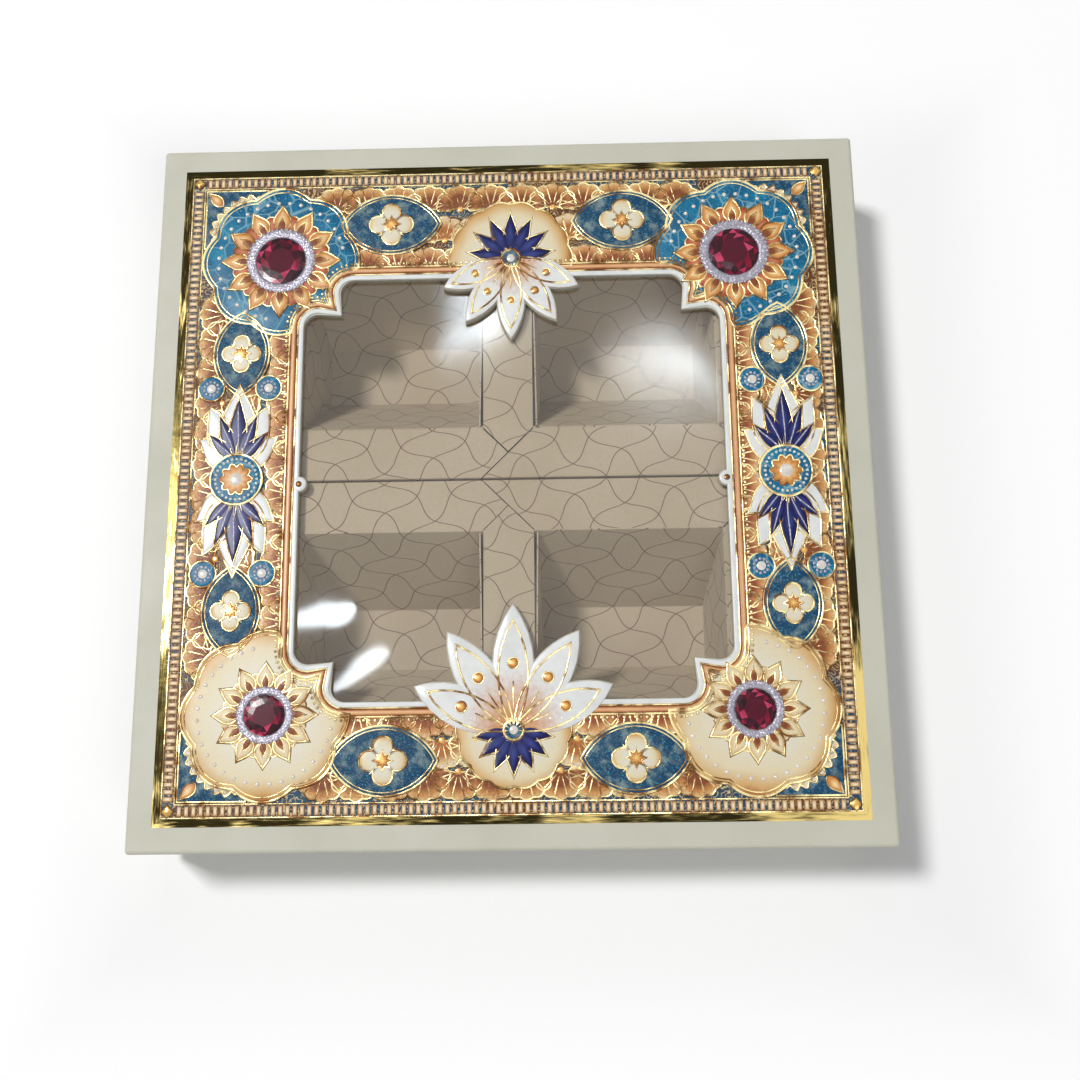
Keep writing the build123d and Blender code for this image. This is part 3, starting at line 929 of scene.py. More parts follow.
shellCorner = {"root": 87.0, "margin": 0.4, "reach": 24.0, "lobes": 9, "spread": 0.7, "leaf": (8.5, 4.6),
               "square": (0.0, 0.14, 0.04, 0.4), "squareRule": (0.08, 0.24, 0.7, 0.5),
               "fan": (0.1, 0.14, 0.08, 0.4), "fanRim": (0.18, 0.24, 0.7, 0.45), "fanRib": (0.2, 0.2, 0.6, 0),
               "leafPlate": (0.12, 0.16, 0.1, 0.35), "leafRim": (0.2, 0.2, 0.5, 0.35)}


def shellCorners():
    reach, lobes, spread = shellCorner["reach"], shellCorner["lobes"], shellCorner["spread"]
    side = panel["reedInner"] - shellCorner["margin"] - shellCorner["root"]
    squares, fans, ribs, leaves = [], [], [], []
    for quarter in range(4):
        square = quarter * math.pi / 2
        turn = math.pi / 4 + square
        x, y = moved([(1, -1)], turn=square, scale=shellCorner["root"])[0]
        squares.append(moved(moved([(0, 0), (side, 0), (side, -side), (0, -side)], turn=square), x, y))
        fans.append(moved(fanOutline(reach, lobes, spread), x, y, turn))
        ribs += [moved(rib, x, y, turn) for rib in fanRibs(reach, lobes, spread)]
        leaves.append(moved(ogeeOutline(*shellCorner["leaf"]), *moved([(0, -reach)], x, y, turn)[0], turn + math.pi))
    platePiece("cornerSquares", squares, shellCorner["square"], grainedTeal)
    linePiece("cornerSquareRules", squares, shellCorner["squareRule"])
    platePiece("cornerFans", fans, shellCorner["fan"], shellEnamels[1], roots=[f[0] for f in fans])
    linePiece("cornerFanRims", fans, shellCorner["fanRim"])
    linePiece("cornerFanRibs", ribs, shellCorner["fanRib"], closed=False)
    platePiece("cornerLeaves", leaves, shellCorner["leafPlate"], peachEnamel)
    linePiece("cornerLeafRims", leaves, shellCorner["leafRim"])


reeds = {"count": 92, "corner": 4.0, "bar": (0.85, 1.75), "plate": (0.0, 0.2, 0.08, 0.18), "margin": 0.2,
         "rules": (0.1, 0.05), "rule": (0.0, 0.3, 0.55, 0), "stud": (2.5, 1.8, 4), "studPlate": (0.0, 0.3, 0.4, 0.2)}


def reededEdge():
    inner, outer = panel["reedInner"], panel["half"] - reeds["margin"]
    middle = (inner + outer) / 2
    turns = [Vector(p) for p in boxOutline(middle, middle)]
    paths = []
    for i, start in enumerate(turns):
        end = turns[(i + 1) % 4]
        way = (end - start).normalized() * reeds["corner"]
        paths.append(((tuple(start + way), tuple(end - way)), reeds["count"]))
    bar = plateMesh("reed", [boxOutline(*reeds["bar"])], reeds["plate"], rounds=2)
    alongPaths("reededEdge", paths, bar, reededIvory, closed=False, smooth=False)
    frames = [boxOutline(r, r) for r in (inner - reeds["rules"][0], outer + reeds["rules"][1])]
    linePiece("reedRules", frames, reeds["rule"])
    studs = [moved(starOutline(*reeds["stud"]), sx * middle, sy * middle) for sx in (-1, 1) for sy in (-1, 1)]
    platePiece("cornerStuds", studs, reeds["studPlate"], darkGold)


shellRows()
shellCorners()
reededEdge()
print("shell rows and reeded edge made")


stars = {
    "centre": 82.0, "radius": 26.6, "lobes": 8, "lobe": 0.095,
    "plate": (0.24, 0.2, 0.06, 0.5), "plateGap": 3.4,  # the gaps keep the outlines off the window
    "rim": (0.36, 0.34, 1.1, 0), "rimSize": 0.98, "rimGap": 3.9,
    "innerRim": (0.42, 0.14, 0.5, 0), "innerRimSize": 0.93, "innerRimGap": 4.2,
    "beadRadius": 22.8, "beadSpread": 2.15, "beads": 25, "bead": (0.75, 0.5, 10, 0.44),
}
flowers = {  # round the cut stones; the sizes are for the large ones, on teal
    "Large": {"onTeal": True, "ring": 12.2, "grow": 1.0, "buds": rustEnamel, "petals": peachEnamel},
    "Small": {"onTeal": False, "ring": 9.4, "grow": 0.9, "buds": shellEnamels[1], "petals": ivoryEnamel},
}
flowerParts = {
    "petals": 12, "ringInset": 1.4,
    "bud": (7.6, 6.6), "budPlate": (0.42, 0.16, 0.08, 0.35), "budRim": (0.5, 0.18, 0.6, 0.4),
    "petal": (11.6, 7.6), "petalPlate": (0.5, 0.18, 0.1, 0.4), "petalRim": (0.6, 0.22, 0.75, 0.5),
    "heart": (7.6, 3.4), "heartPlate": (0.6, 0.14, 0.1, 0.25), "heartRim": (0.68, 0.16, 0.4, 0.3),
    "collar": ((0, 0.5, 0), (0, 0.84, 0.1), (0.4, 0.94, 0.6)),  # inset of a ring, its height and stored depth
    "collarInside": ((2.5, 0.94, 0.6), (3.2, 0.74, 0.1), (3.2, 0.5, 0)),  # these insets follow the size
    "collarBeads": 44, "collarBead": (0.6, 0.6, 8, 0.8), "collarBeadInset": 0.1,
    "stoneInset": 3.2, "stoneLift": 0.5, "stoneHeight": 0.55,
}


def cornerStars():
    centres = {True: [], False: []}  # teal at the back, ivory at the front
    plates = {True: [], False: []}
    rims, innerRims, dotTracks = [], [], []
    shape = roundOutline(stars["radius"], 160, stars["lobes"], stars["lobe"])
    for sx, sy in ((-1, 1), (1, 1), (-1, -1), (1, -1)):
        x, y = sx * stars["centre"], sy * stars["centre"]
        plates[sy > 0].append(offWindow(moved(shape, x, y), (x, y), stars["plateGap"]))
        centres[sy > 0].append((x, y))
        rims.append(offWindow(moved(shape, x, y, scale=stars["rimSize"]), (x, y), stars["rimGap"]))
        innerRims.append(offWindow(moved(shape, x, y, scale=stars["innerRimSize"]), (x, y), stars["innerRimGap"]))
        away, radius, spread = math.atan2(sy, sx), stars["beadRadius"], stars["beadSpread"]
        arc = [(x + radius * math.cos(away + a), y + radius * math.sin(away + a))
               for a in (-spread + 2 * spread * i / 60 for i in range(61))]
        dotTracks.append((arc, stars["beads"]))
    platePiece("tealStars", plates[True], stars["plate"], tealEnamel, roots=centres[True])
    platePiece("ivoryStars", plates[False], stars["plate"], medallionIvory, roots=centres[False], rounds=6)
    linePiece("starRims", rims, stars["rim"])
    linePiece("starInnerRims", innerRims, stars["innerRim"])
    alongPaths("starBeads", dotTracks, beadMesh(*stars["bead"]), pearl, closed=False)
    for label, flower in flowers.items():
        stoneFlowers(label, flower, centres[flower["onTeal"]])


def stoneFlowers(label, flower, spots):
    parts, radius, grow = flowerParts, flower["ring"], flower["grow"]
    slim = radius / flowers["Large"]["ring"]
    tracks = [[(moved(roundOutline(radius - parts["ringInset"], 48), x, y, turn), parts["petals"])
               for x, y in spots] for turn in (math.pi / 12, 0)]
    kinds = (("Bud", "Buds", petalOutline, tracks[0], flower["buds"]),
             ("Petal", "Petals", ogeeOutline, tracks[1], flower["petals"]),
             ("Heart", "Hearts", ogeeOutline, tracks[1], shellEnamels[0]))
    for kind, several, outlineOf, paths, finish in kinds:
        part = kind.lower()
        length, width = parts[part]
        outline = moved(outlineOf(length * grow, width * grow), turn=math.pi)
        plate = plateMesh(part, [outline], parts[part + "Plate"], roots=[(0, 0)])
        alongPaths("star" + several + label, paths, plate, finish)
        alongPaths("star" + kind + "Rims" + label, paths, lineMesh(part, [outline], parts[part + "Rim"]), goldLine)
    profile = [(radius - gap, groundTop + z, depth) for gap, z, depth in parts["collar"]]
    profile += [(radius - gap * slim, groundTop + z, depth) for gap, z, depth in parts["collarInside"]]
    collar, gem = Builder(), Builder()
    for x, y in spots:
        collar.rings(profile, lambda q: moved(roundOutline(q, 56), x, y))
        gem.stone(x, y, groundTop + parts["stoneLift"], radius - parts["stoneInset"] * slim, parts["stoneHeight"])
    newPiece("silverCollar" + label, collar.mesh("collar", recalculate=True), grainedSilver)
    tracks = circlesAt(spots, radius - parts["collarBeadInset"], 64)
    size, height, sides, lift = parts["collarBead"]
    alongPaths("collarBeads" + label, [(track, parts["collarBeads"]) for track in tracks],
               beadMesh(size * slim, height, sides, lift), grainedSilver)
    mesh = gem.mesh("gem", recalculate=True)
    dice = random.Random(5)
    least, spread, power = stoneCut["facetGlints"]
    # painted glints: the table gets a set brightness, every other facet a random one
    spark = [stoneCut["tableGlint"] if len(f.vertices) == stoneCut["sides"] // 2
             else least + spread * dice.random() ** power for f in mesh.polygons]
    mesh.attributes.new("spark", "FLOAT", "FACE").data.foreach_set("value", spark)
    newPiece("ruby" + label, mesh, ruby, smooth=False)


cornerStars()
print("corner stars made")


lotus = {
    "petals": ((0, 1.0), (34, 0.94), (-34, 0.94), (66, 0.86), (-66, 0.86)),  # angle and share of the length
    "vein": (0.16, 0.24, 0.32, 0.38), "dotPlace": 0.52, "dotSize": 0.13, "lineSize": (0.86, 0.7),
    "navyAngles": (0, 26, -26, 52, -52, 80, -80), "navyWidth": 6.4, "navyShrink": 0.0016,
    "navyReach": {"back": 19.5, "front": 16.5}, "disc": 2.4, "discGap": 3.4, "discLean": 2.0,
    "discLobes": (112, 14, 0.05), "heart": 3.3, "pearl": 1.5,  # steps, lobes and their depth
    "discPlate": (0.22, 0.14, 0.02, 0.5), "discRim": (0.3, 0.26, 0.8, 0.5),
    "navyPlate": (0.34, 0.24, 0.2, 0.35), "navyRim": (0.52, 0.2, 0.55, 0.4),
    "whitePlate": (-0.08, 0.76, 0.08, 0.45), "whiteInset": 0.12, "whiteRim": (0.68, 0.22, 0.75, 0),
    "dotPlate": (0.68, 0.16, 0.2, 0.14), "dotRim": (0.74, 0.18, 0.5, 0), "veinLine": (0.72, 0.18, 0.6, 0),
    "heartPlate": (0.52, 0.32, 0.08, 0.25), "heartRim": (0.72, 0.3, 1.0, 0), "pearlPlate": (0.82, 0.1, 0.24, 0.08),
}


def lotusFans():
    white, rims, dots, veins, whiteRoots, navy, navyRoots, discs, hearts = [], [], [], [], [], [], [], [], []
    for side, flip in (("back", 1), ("front", -1)):
        reach = window[side + "Reach"]
        root = window["root"] * reach
        cx, cy = window["shiftX"], windowSides[side] + flip * root
        turn = math.pi if flip > 0 else 0.0
        for angle, share in lotus["petals"]:
            length, width = share * (reach + root), window["petalShare"] * reach
            a = turn + math.radians(angle)
            white.append(moved(petalOutline(length, width), cx, cy, a))
            whiteRoots.append((cx, cy))
            rims.append(moved(petalOutline(length * lotus["lineSize"][0], width * lotus["lineSize"][1]), cx, cy, a))
            tip = moved([(0, length * lotus["dotPlace"])], cx, cy, a)[0]
            dots.append(moved(roundOutline(width * lotus["dotSize"], 18), *tip))
            veins.append(moved([(0, length * t) for t in lotus["vein"]], cx, cy, a))
        navyReach = lotus["navyReach"][side]
        for angle in lotus["navyAngles"]:
            length = navyReach * (1 - lotus["navyShrink"] * abs(angle))
            navy.append(moved(ogeeOutline(length, lotus["navyWidth"]), cx, cy, turn + math.pi + math.radians(angle)))
            navyRoots.append((cx, cy))
        disc = moved(roundOutline(navyReach + lotus["disc"], *lotus["discLobes"]), cx, cy)
        discs.append(offWindow(disc, (cx, cy + flip * lotus["discLean"]), lotus["discGap"]))
        hearts.append((cx, cy))
    platePiece("fanShells", discs, lotus["discPlate"], medallionIvory, roots=hearts, rounds=6)
    linePiece("fanShellRims", discs, lotus["discRim"])
    platePiece("navyPetals", navy, lotus["navyPlate"], navyEnamel, roots=navyRoots)
    linePiece("navyPetalRims", navy, lotus["navyRim"])
    whites = [inset(anticlockwise(w), lotus["whiteInset"]) for w in white]
    platePiece("whitePetals", whites, lotus["whitePlate"], whiteEnamel, roots=whiteRoots, rounds=4)
    linePiece("whitePetalRims", rims, lotus["whiteRim"])
    platePiece("petalDots", dots, lotus["dotPlate"], amberBead)
    linePiece("petalDotRims", dots, lotus["dotRim"])
    linePiece("petalVeins", veins, lotus["veinLine"], closed=False)
    rings = circlesAt(hearts, lotus["heart"], 32)
    platePiece("fanHearts", rings, lotus["heartPlate"], grainedTeal)
    linePiece("fanHeartRims", rings, lotus["heartRim"])
    platePiece("fanPearls", circlesAt(hearts, lotus["pearl"], 20), lotus["pearlPlate"], pearl)


def bandMiddle(side, sign):  # halfway between the window's moulding and the reeded edge
    edge = windowSides[side] + sign * panel["bandGap"]
    return (edge + sign * panel["reedInner"]) / 2


palmettes = {
    "whites": ((54, 18, 12), (-54, 18, 12), (0, 31, 15), (26, 25.5, 13), (-26, 25.5, 13)),  # angle, length, width
    "navies": ((0, 26, 7.4), (21, 20.5, 6.2), (-21, 20.5, 6.2), (44, 16.5, 5.6), (-44, 16.5, 5.6)),
    "whiteRoot": 5.0, "navyRoot": 6.0, "vein": (0.1, 0.25, 0.4, 0.55, 0.7, 0.8), "veinSway": 0.3,
    "whitePlate": (0.24, 0.22, 0.1, 0.4), "whiteRim": (0.38, 0.24, 0.75, 0.5),
    "navyPlate": (0.42, 0.22, 0.16, 0.35), "navyRim": (0.58, 0.18, 0.5, 0.4), "veinLine": (0.7, 0.16, 0.6, 0),
}
sideDiscs = {
    "across": 10.2, "along": 33.5, "radius": 5.0, "rimRadius": 4.6, "beadTrack": 2.5, "beads": 11, "pearl": 1.6,
    "plate": (0.36, 0.16, 0.05, 0.35), "rim": (0.46, 0.24, 0.75, 0), "bead": (0.6, 0.5, 8, 0.5),
    "pearlPlate": (0.5, 0.14, 0.2, 0.1),
}
sideHearts = {
    "radius": 9.6, "rimRadius": 9.1, "beadTrack": 7.3, "beads": 28, "flower": (4.9, 60, 10, 0.25), "pearl": 2.3,
    "plate": (0.52, 0.24, 0.08, 0.4), "rim": (0.66, 0.3, 1.0, 0), "bead": (0.55, 0.6, 8, 0.76),
    "flowerPlate": (0.72, 0.16, 0.06, 0.3), "flowerRim": (0.82, 0.16, 0.55, 0.35),
    "pearlPlate": (0.84, 0.12, 0.24, 0.1),
}
knobs = {"clear": 0.12, "bead": 1.1, "plate": (-0.08, 0.5, 0.08, 0.25), "beadPlate": (0.42, 0.16, 0.2, 0.12)}


def sidePalmettes():
    white, whiteRoots, navy, veins, hearts, knobSpots = [], [], [], [], [], []
    for side, sign in (("left", -1), ("right", 1)):
        cx = bandMiddle(side, sign)
        for up in (1, -1):
            turn = 0 if up > 0 else math.pi
            for angle, length, width in palmettes["whites"]:
                root = (cx, up * palmettes["whiteRoot"])
                white.append(moved(ogeeOutline(length, width), *root, math.radians(angle) + turn))
                whiteRoots.append(root)
            for angle, length, width in palmettes["navies"]:
                root, a = (cx, up * palmettes["navyRoot"]), math.radians(angle) + turn
                navy.append(moved(ogeeOutline(length, width), *root, a))
                vein = [(palmettes["veinSway"] * math.sin(t * 6), length * t) for t in palmettes["vein"]]
                veins.append(moved(vein, *root, a))
        hearts.append((cx, 0.0))
        knobSpots.append((windowSides[side], window["shiftY"]))
    discs = [(x + across * sideDiscs["across"], along * sideDiscs["along"])
             for x, y in hearts for across in (-1, 1) for along in (-1, 1)]
    platePiece("sideDiscs", circlesAt(discs, sideDiscs["radius"], 40), sideDiscs["plate"], tealEnamel)
    linePiece("sideDiscRims", circlesAt(discs, sideDiscs["rimRadius"], 40), sideDiscs["rim"])
    tracks = [(track, sideDiscs["beads"]) for track in circlesAt(discs, sideDiscs["beadTrack"], 32)]
    alongPaths("sideDiscBeads", tracks, beadMesh(*sideDiscs["bead"]), grainedSilver)
    platePiece("sideDiscPearls", circlesAt(discs, sideDiscs["pearl"], 20), sideDiscs["pearlPlate"], pearl)
    platePiece("palmetteWhites", white, palmettes["whitePlate"], whiteEnamel, roots=whiteRoots)
    linePiece("palmetteWhiteRims", white, palmettes["whiteRim"])
    platePiece("palmetteNavy", navy, palmettes["navyPlate"], navyEnamel)
    linePiece("palmetteNavyRims", navy, palmettes["navyRim"])
    linePiece("palmetteVeins", veins, palmettes["veinLine"], grainedSilver, closed=False)
    platePiece("palmetteHearts", circlesAt(hearts, sideHearts["radius"], 48), sideHearts["plate"], tealEnamel)
    linePiece("palmetteHeartRims", circlesAt(hearts, sideHearts["rimRadius"], 48), sideHearts["rim"])
    blooms = [moved(roundOutline(*sideHearts["flower"]), x, y) for x, y in hearts]
    platePiece("heartFlowers", blooms, sideHearts["flowerPlate"], peachEnamel)
    linePiece("heartFlowerRims", blooms, sideHearts["flowerRim"])
    platePiece("heartPearls", circlesAt(hearts, sideHearts["pearl"], 24), sideHearts["pearlPlate"], pearl)
    tracks = [(track, sideHearts["beads"]) for track in circlesAt(hearts, sideHearts["beadTrack"], 48)]
    alongPaths("heartBeads", tracks, beadMesh(*sideHearts["bead"]), pearl)
    platePiece("windowKnobs", circlesAt(knobSpots, window["knob"] - knobs["clear"], 24), knobs["plate"], whiteEnamel)
    platePiece("knobBeads", circlesAt(knobSpots, knobs["bead"], 16), knobs["beadPlate"], goldLine)


lozenges = {
    "along": 46.5, "sideSize": 7.8, "across": 42.0, "endSize": 9.0, "frame": (4.2, 2.7), "star": (3.4, 1.9, 8),
    "framePlate": (0.28, 0.14, 0.04, 0.4), "frameRim": (0.36, 0.24, 0.9, 0.5), "innerRim": (0.42, 0.14, 0.45, 1.7),
    "foilPlate": (0.42, 0.2, 0.1, 0.35), "foilRim": (0.54, 0.26, 0.75, 0.4),
    "starPlate": (0.66, 0.18, 0.12, 0.14), "starRim": (0.74, 0.16, 0.5, 0),
}


def quatrefoils():
    spots = [(bandMiddle(side, sign), up * lozenges["along"], lozenges["sideSize"])
             for side, sign in (("left", -1), ("right", 1)) for up in (-1, 1)]
    spots += [(across * lozenges["across"], bandMiddle(side, sign), lozenges["endSize"])
              for side, sign in (("back", 1), ("front", -1)) for across in (-1, 1)]
    frames, foils = [], []
    length, width = lozenges["frame"]
    for x, y, size in spots:
        leaf = moved(petalOutline(size * length, size * width, 14), 0, -size * length / 2)
        frames.append(moved(leaf, x, y, math.pi / 2 if abs(y) > abs(x) else 0.0))
        foils.append(moved(barbedOutline(size), x, y))
    middles = [(x, y) for x, y, size in spots]
    starShapes = [moved(starOutline(*lozenges["star"]), x, y) for x, y in middles]
    platePiece("lozenges", frames, lozenges["framePlate"], grainedTeal)
    linePiece("lozengeRims", frames, lozenges["frameRim"])
    linePiece("lozengeInnerRims", frames, lozenges["innerRim"])
    platePiece("quatrefoils", foils, lozenges["foilPlate"], medallionIvory, roots=middles)
    linePiece("quatrefoilRims", foils, lozenges["foilRim"])
    platePiece("quatrefoilStars", starShapes, lozenges["starPlate"], amberBead)
    linePiece("quatrefoilStarRims", starShapes, lozenges["starRim"])


lotusFans()
sidePalmettes()
quatrefoils()
print("fans, palmettes and quatrefoils made")


film = {"cells": 64, "wave": 0.11, "rise": 1.6, "edge": 7, "sink": 0.02,
        "waves": ((1.0, 41, 17, 0.6), (0.7, -29, 63, 1.9), (0.5, 97, 61, 0.4))}  # size, turns along x and y, start


def makeFilmSheet():
    low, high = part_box("window_film")
    n = film["cells"]
    thick = high.z - low.z
    b = Builder()
    layers = []
    for z, sink in ((low.z, 0.5), (high.z, 1.0)):
        rows = []
        for j in range(n + 1):
            row = []
            for i in range(n + 1):
                s, t = i / n, j / n
                x, y = low.x + (high.x - low.x) * s, low.y + (high.y - low.y) * t
                fade = min(1, film["edge"] * min(s, 1 - s)) * min(1, film["edge"] * min(t, 1 - t))
                wave = sum(size * math.sin(x * a + y * c + start) for size, a, c, start in film["waves"])
                drop = sink * thick * film["sink"] + fade * film["wave"] * mm * (film["rise"] + wave)
                row.append(b.add(x / mm, y / mm, (z - drop) / mm, fade, (s, t)))
            rows.append(row)
        layers.append(rows)
    for upper, rows in enumerate(layers):
        for j in range(n):
            for i in range(n):
                face = (rows[j][i], rows[j][i + 1], rows[j + 1][i + 1], rows[j + 1][i])
                b.faces.append(face if upper else face[::-1])
    rim = [(0, i) for i in range(n)] + [(j, n) for j in range(n)]
    rim += [(n, i) for i in range(n, 0, -1)] + [(j, 0) for j in range(n, 0, -1)]
    b.bridge(*([rows[j][i] for j, i in rim] for rows in layers))
    sheet = newPiece("clearFilm", b.mesh("clearFilm"), clearFilm)
    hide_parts("window_film")


makeFilmSheet()


tray = {"half": 121.2, "near": 0.35, "top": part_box("back_tray")[1].z / mm, "floor": 3.15, "card": 0.55,
        "ridge": 18.5, "slope": 21.5, "far": 84.5, "inner": 8.8, "innerSlope": 1.7, "outer": 74.8,
        "outerSlope": 4.0, "flange": 20.0, "seam": 0.4, "crease": 0.55, "slot": 1.0, "nick": 1.2,
        "merge": 0.02, "foldAngle": 0.15}
trayPrint = {  # how far each panel's print is shifted, as the real print doesn't meet at the seams
    "flaps": ((0, 0), (3.1, 1.7), (1.4, 6.0), (-2.0, 4.4), (0.0, 3.3)), "rim": (2.2, 5.1), "rightWell": 3.1,
    "frontTray": 4.1}


def shrunk(points, seams, gap):  # moves the seam edges of an anticlockwise polygon inwards
    n = len(points)
    lines = []
    for i in range(n):
        a, b = Vector(points[i]), Vector(points[(i + 1) % n])
        d = (b - a).normalized()
        push = gap if i in seams else 0.0
        lines.append((a + Vector((-d.y, d.x)) * push, d))
    result = []
    for i in range(n):
        (p, d), (q, e) = lines[i - 1], lines[i]
        cross = d.x * e.y - d.y * e.x
        t = ((q - p).x * e.y - (q - p).y * e.x) / cross if abs(cross) > 1e-4 else 0.0
        result.append(tuple(p + d * t))
    return result


def trayPanels():  # each panel: its corners, and where they lie on the flat printed sheet
    half, near, top, floor = tray["half"], tray["near"], tray["top"], tray["floor"]
    ridge, far, inner, outer = tray["ridge"], tray["far"], tray["inner"], tray["outer"]
    nearRun, farRun, deep = ridge - near, half - far, top - floor
    panels = []

    def flap(points, seams, shift):  # a flap of the rim, with the flange or skirt folded down from it
        pts = shrunk(points, seams, tray["seam"] / 2)
        panels.append(([(x, y, top) for x, y in pts], [(x + shift[0], y + shift[1]) for x, y in pts]))
        for line, drop, way in ((near, tray["flange"], -1), (half, deep, 1)):
            ends = [x for x, y in pts if abs(y - line) < 0.01]
            if ends:
                corners = [(min(ends), 0), (max(ends), 0), (max(ends), drop), (min(ends), drop)]
                panels.append(([(x, line, top - z) for x, z in corners],
                               [(x + shift[0], line + way * z + shift[1]) for x, z in corners]))

    nearPeak, farPeak = (0, ridge - inner), (0, far + inner)  # the mitred ends of the divider's strip
    nearMeet, farMeet = (inner - nearRun, near), (farRun - inner, half)
    flaps = (([(-outer - nearRun, near), nearMeet, nearPeak, (-inner, ridge), (-outer, ridge)], {1, 2, 4}),
             ([nearMeet, (outer + nearRun, near), (outer, ridge), (inner, ridge), nearPeak], {1, 3, 4}),
             ([(-outer, far), (-inner, far), farPeak, farMeet, (-outer - farRun, half)], {1, 2, 4}),
             ([(inner, far), (outer, far), (outer + farRun, half), farMeet, farPeak], {1, 3, 4}),
             ([nearPeak, (inner, ridge), (inner, far), farPeak, (-inner, far), (-inner, ridge)], {0, 2, 3, 5}))
    for (points, seams), shift in zip(flaps, trayPrint["flaps"]):
        flap(points, seams, shift)
    start = near + tray["nick"]  # a nick parts the flange from the side's skirt at the corner
    for side in (-1, 1):
        rim = [(outer, ridge), (outer + nearRun, near), (half - tray["nick"], near), (half, start), (half, half),
               (outer + farRun, half), (outer, far)]
        rim = [(side * x, y) for x, y in rim]
        flap(rim if side > 0 else rim[::-1], {0, 5}, (side * trayPrint["rim"][0], trayPrint["rim"][1]))
        corners = [(start, top), (half, top), (half, floor), (start, floor)]
        panels.append(([(side * half, y, z) for y, z in corners],
                       [(side * (half + top - z), y) for y, z in corners]))
    y0, y1 = ridge + tray["slope"], far - tray["slope"]
    slopeRun = math.hypot(tray["slope"], deep)
    for side in (-1, 1):
        innerTop, outerTop = side * inner, side * outer
        innerFoot, outerFoot = side * (inner + tray["innerSlope"]), side * (outer - tray["outerSlope"])
        shift = trayPrint["rightWell"] if side > 0 else 0.0
        v0, v1 = ridge + slopeRun, ridge + slopeRun + y1 - y0
        rows = ((innerTop, outerTop, ridge, top, ridge), (innerFoot, outerFoot, y0, floor, v0),
                (innerFoot, outerFoot, y1, floor, v1), (innerTop, outerTop, far, top, v1 + slopeRun))
        for (a, b, y, z, v), (c, d, nextY, nextZ, nextV) in zip(rows, rows[1:]):
            panels.append(([(a, y, z), (b, y, z), (d, nextY, nextZ), (c, nextY, nextZ)],
                           [(a + shift, v), (b + shift, v), (d + shift, nextV), (c + shift, nextV)]))
        slot = tray["slot"]  # a dark slot beside the divider narrows to nothing
        foot = innerTop + side * math.hypot(deep, tray["innerSlope"])
        panels.append(([(innerTop + side * slot, ridge + slot, top), (innerTop, far, top), (innerFoot, y1, floor),
                        (innerFoot, y0, floor)],
                       [(innerTop, ridge), (innerTop, far), (foot, y1), (foot, y0)]))
        wall = side * math.hypot(deep, tray["outerSlope"])
        panels.append(([(outerTop, ridge, top), (outerTop, far, top), (outerFoot, y1, floor), (outerFoot, y0, floor)],
                       [(outerTop - wall * 2, ridge), (outerTop - wall * 2, far), (outerTop - wall, y1),
                        (outerTop - wall, y0)]))
    return panels


def makeTray(name, node, back):
    work = bmesh.new()
    uv = work.loops.layers.uv.new("UVMap")
    for points, sheet in trayPanels():
        verts = [work.verts.new((x * mm, (y if back else -y) * mm, z * mm)) for x, y, z in points]
        face = work.faces.new(verts)
        for loop, (u, v) in zip(face.loops, sheet):
            loop[uv].uv = (u * mm, (v if back else trayPrint["frontTray"] - v) * mm)
    bmesh.ops.remove_doubles(work, verts=work.verts, dist=tray["merge"] * mm)
    bmesh.ops.recalc_face_normals(work, faces=work.faces)
    highest = max(work.faces, key=lambda f: f.calc_center_median().z + (1 if abs(f.normal.z) > 0.9 else 0))
    if highest.normal.z < 0:
        bmesh.ops.reverse_faces(work, faces=work.faces)
    folds = [e for e in work.edges if len(e.link_faces) == 2 and e.calc_face_angle(0) > tray["foldAngle"]]
    bmesh.ops.bevel(work, geom=folds, offset=tray["crease"] * mm, segments=2, profile=0.5, affect="EDGES",
                    clamp_overlap=True)
    mesh = bpy.data.meshes.new(name)
    work.to_mesh(mesh)
    work.free()
    piece = bpy.data.objects.new(name, mesh)
    scene.collection.objects.link(piece)
    thick = piece.modifiers.new("card", "SOLIDIFY")
    thick.thickness = tray["card"] * mm
    thick.offset = -1
    thick.use_even_offset = True
    graph = bpy.context.evaluated_depsgraph_get()
    solid = bpy.data.meshes.new_from_object(piece.evaluated_get(graph), preserve_all_data_layers=True,
                                            depsgraph=graph)
    bpy.data.objects.remove(piece)
    solid.name = name
    made = newPiece(name, solid, kraftCard, body="base", smooth=False)
    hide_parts(node)


makeTray("backTray", "back_tray", True)
makeTray("frontTray", "front_tray", False)
print("film and trays made")


floorGlow = {"size": 4.0, "strength": 1.1, "centre": (0.012, -0.01), "near": (0.138, 0.2, 0.04, 0.5),
             "far": (0.22, 0.8, 0.0, 0.5)}  # metres from the box's middle, and the share of plain white there
worldLight = 0.14
view = {"place": (0.0197955, -0.1155059, 0.4611999), "turn": (12.4566, 1.34963, -0.61623), "lens": 41.4}
lampTarget = (0, 0, 0.03)
lamps = {"keyLight": ((-1.5, 0.8, 3.5), 0.6, 100), "fillLight": ((1.0, -1.6, 2.4), 1.4, 18)}  # place, size, watts
glints = {  # lamps seen in the film: spot on the window, width and length, turn, watts, distance
    "ceilingLight": ((0.054, 0.036), (0.035, 0.2), 1.2, 0.65, 2.5),
    "backGlint": ((-0.012, 0.059), (0.06, 0.03), 0.4, 0.32, 1.5),
    "leafGlintA": ((-0.063, -0.047), (0.027, 0.085), 1.25, 0.11, 1.5),
    "leafGlintB": ((-0.053, -0.064), (0.034, 0.115), 1.2, 0.17, 1.5),
}
glintColour = (0.84, 0.93, 1)


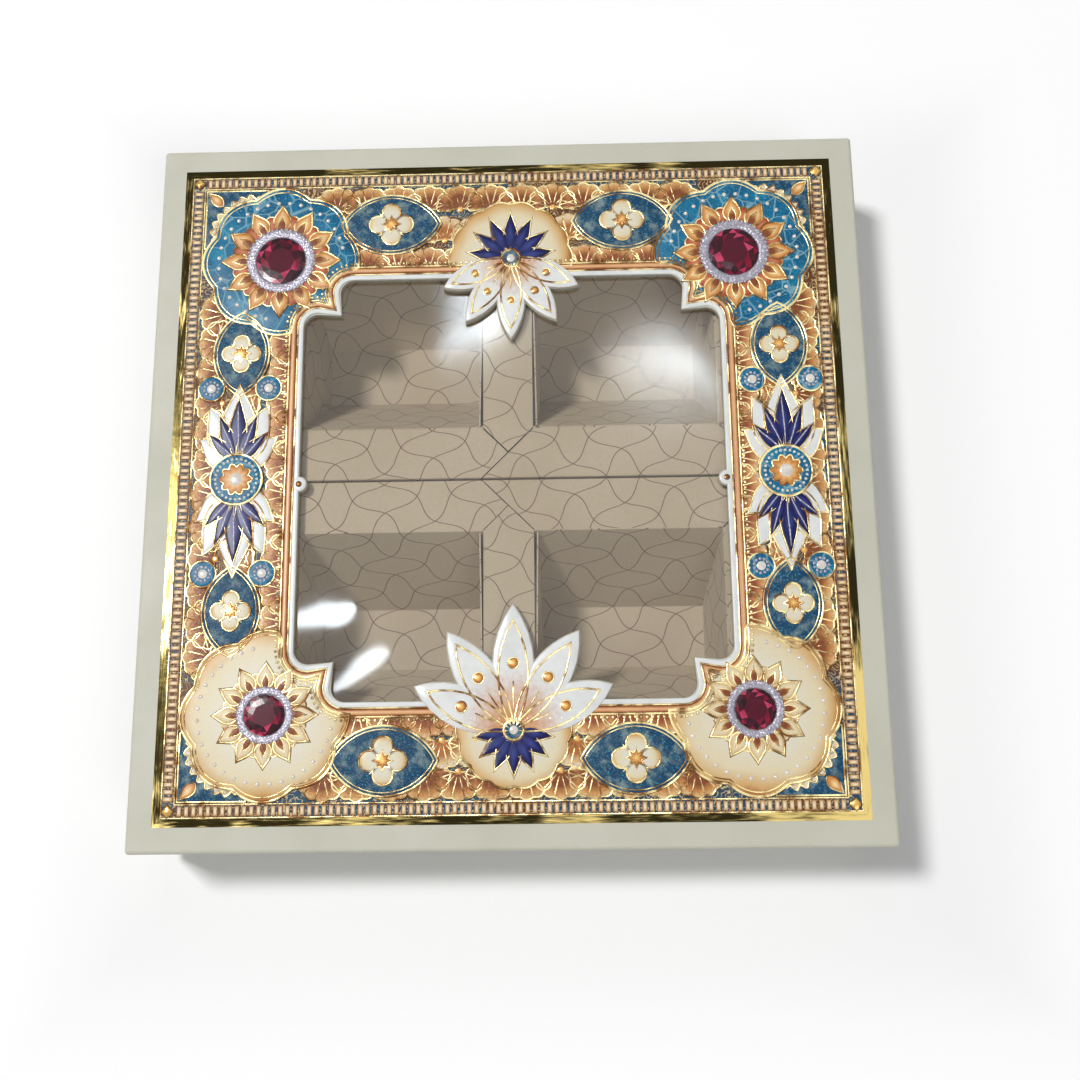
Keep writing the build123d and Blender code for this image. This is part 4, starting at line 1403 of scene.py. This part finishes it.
def makeFloor():
    mesh = bpy.data.meshes.new("studioFloor")
    mesh.from_pydata([(x, y, 0) for x, y in boxOutline(floorGlow["size"], floorGlow["size"])], [], [(0, 1, 2, 3)])
    floor = bpy.data.objects.new("studioFloor", mesh)
    scene.collection.objects.link(floor)
    p = Paint("paleFloor")
    soft = p.add("BsdfDiffuse", {}, {"Color": p.tones[0]})
    glow = p.add("Emission", {}, {"Color": (1, 1, 1, 1), "Strength": floorGlow["strength"]})
    x, y = p.parts(p.place())[:2]
    middle = floorGlow["centre"]
    away = (x - middle[0]).math("ABSOLUTE").math("MAXIMUM", (y - middle[1]).math("ABSOLUTE"))
    plain = away.ease(*floorGlow["near"]) + away.ease(*floorGlow["far"])
    mesh.materials.append(p.show(p.add("MixShader", {}, {0: p.plainRays() * plain, 1: soft, 2: glow})))


def makeWorld():
    scene.world = bpy.data.worlds.new("studio")
    p = Paint("studio", scene.world)
    strength = p.plainRays() * (1 - worldLight) + worldLight  # white where it is seen, dim on the object
    p.show(p.add("Background", {}, {"Color": (1, 1, 1, 1), "Strength": strength}))


def addLamp(name, place, target, size, power):
    lamp = bpy.data.lights.new(name, "AREA")
    lamp.shape = "RECTANGLE"
    lamp.size, lamp.size_y = size
    lamp.energy = power
    thing = bpy.data.objects.new(name, lamp)
    scene.collection.objects.link(thing)
    thing.location = place
    thing.rotation_euler = (Vector(target) - Vector(place)).to_track_quat("-Z", "Y").to_euler()
    return thing


def addGlint(name, spot, size, turn, power, distance):  # at the mirror place of that spot of the window
    spot, eye = Vector((*spot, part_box("window_film")[1].z)), Vector(view["place"])
    way = (spot - eye).normalized()
    lamp = addLamp(name, spot + Vector((way.x, way.y, -way.z)) * distance, spot, size, power)
    lamp.data.shape = "ELLIPSE"
    lamp.data.color = glintColour
    lamp.rotation_euler.rotate_axis("Z", turn)


def addCamera():
    camera = bpy.data.objects.new("camera", bpy.data.cameras.new("camera"))
    scene.collection.objects.link(camera)
    camera.location = view["place"]
    camera.rotation_euler = [math.radians(a) for a in view["turn"]]
    camera.data.sensor_width = 36
    camera.data.lens = view["lens"]
    camera.data.clip_start = 0.01
    scene.camera = camera


makeFloor()
makeWorld()
for name, (place, size, power) in lamps.items():
    addLamp(name, place, lampTarget, (size, size), power)
for name, glint in glints.items():
    addGlint(name, *glint)
addCamera()
scene.view_settings.view_transform = "Standard"
print("studio ready")
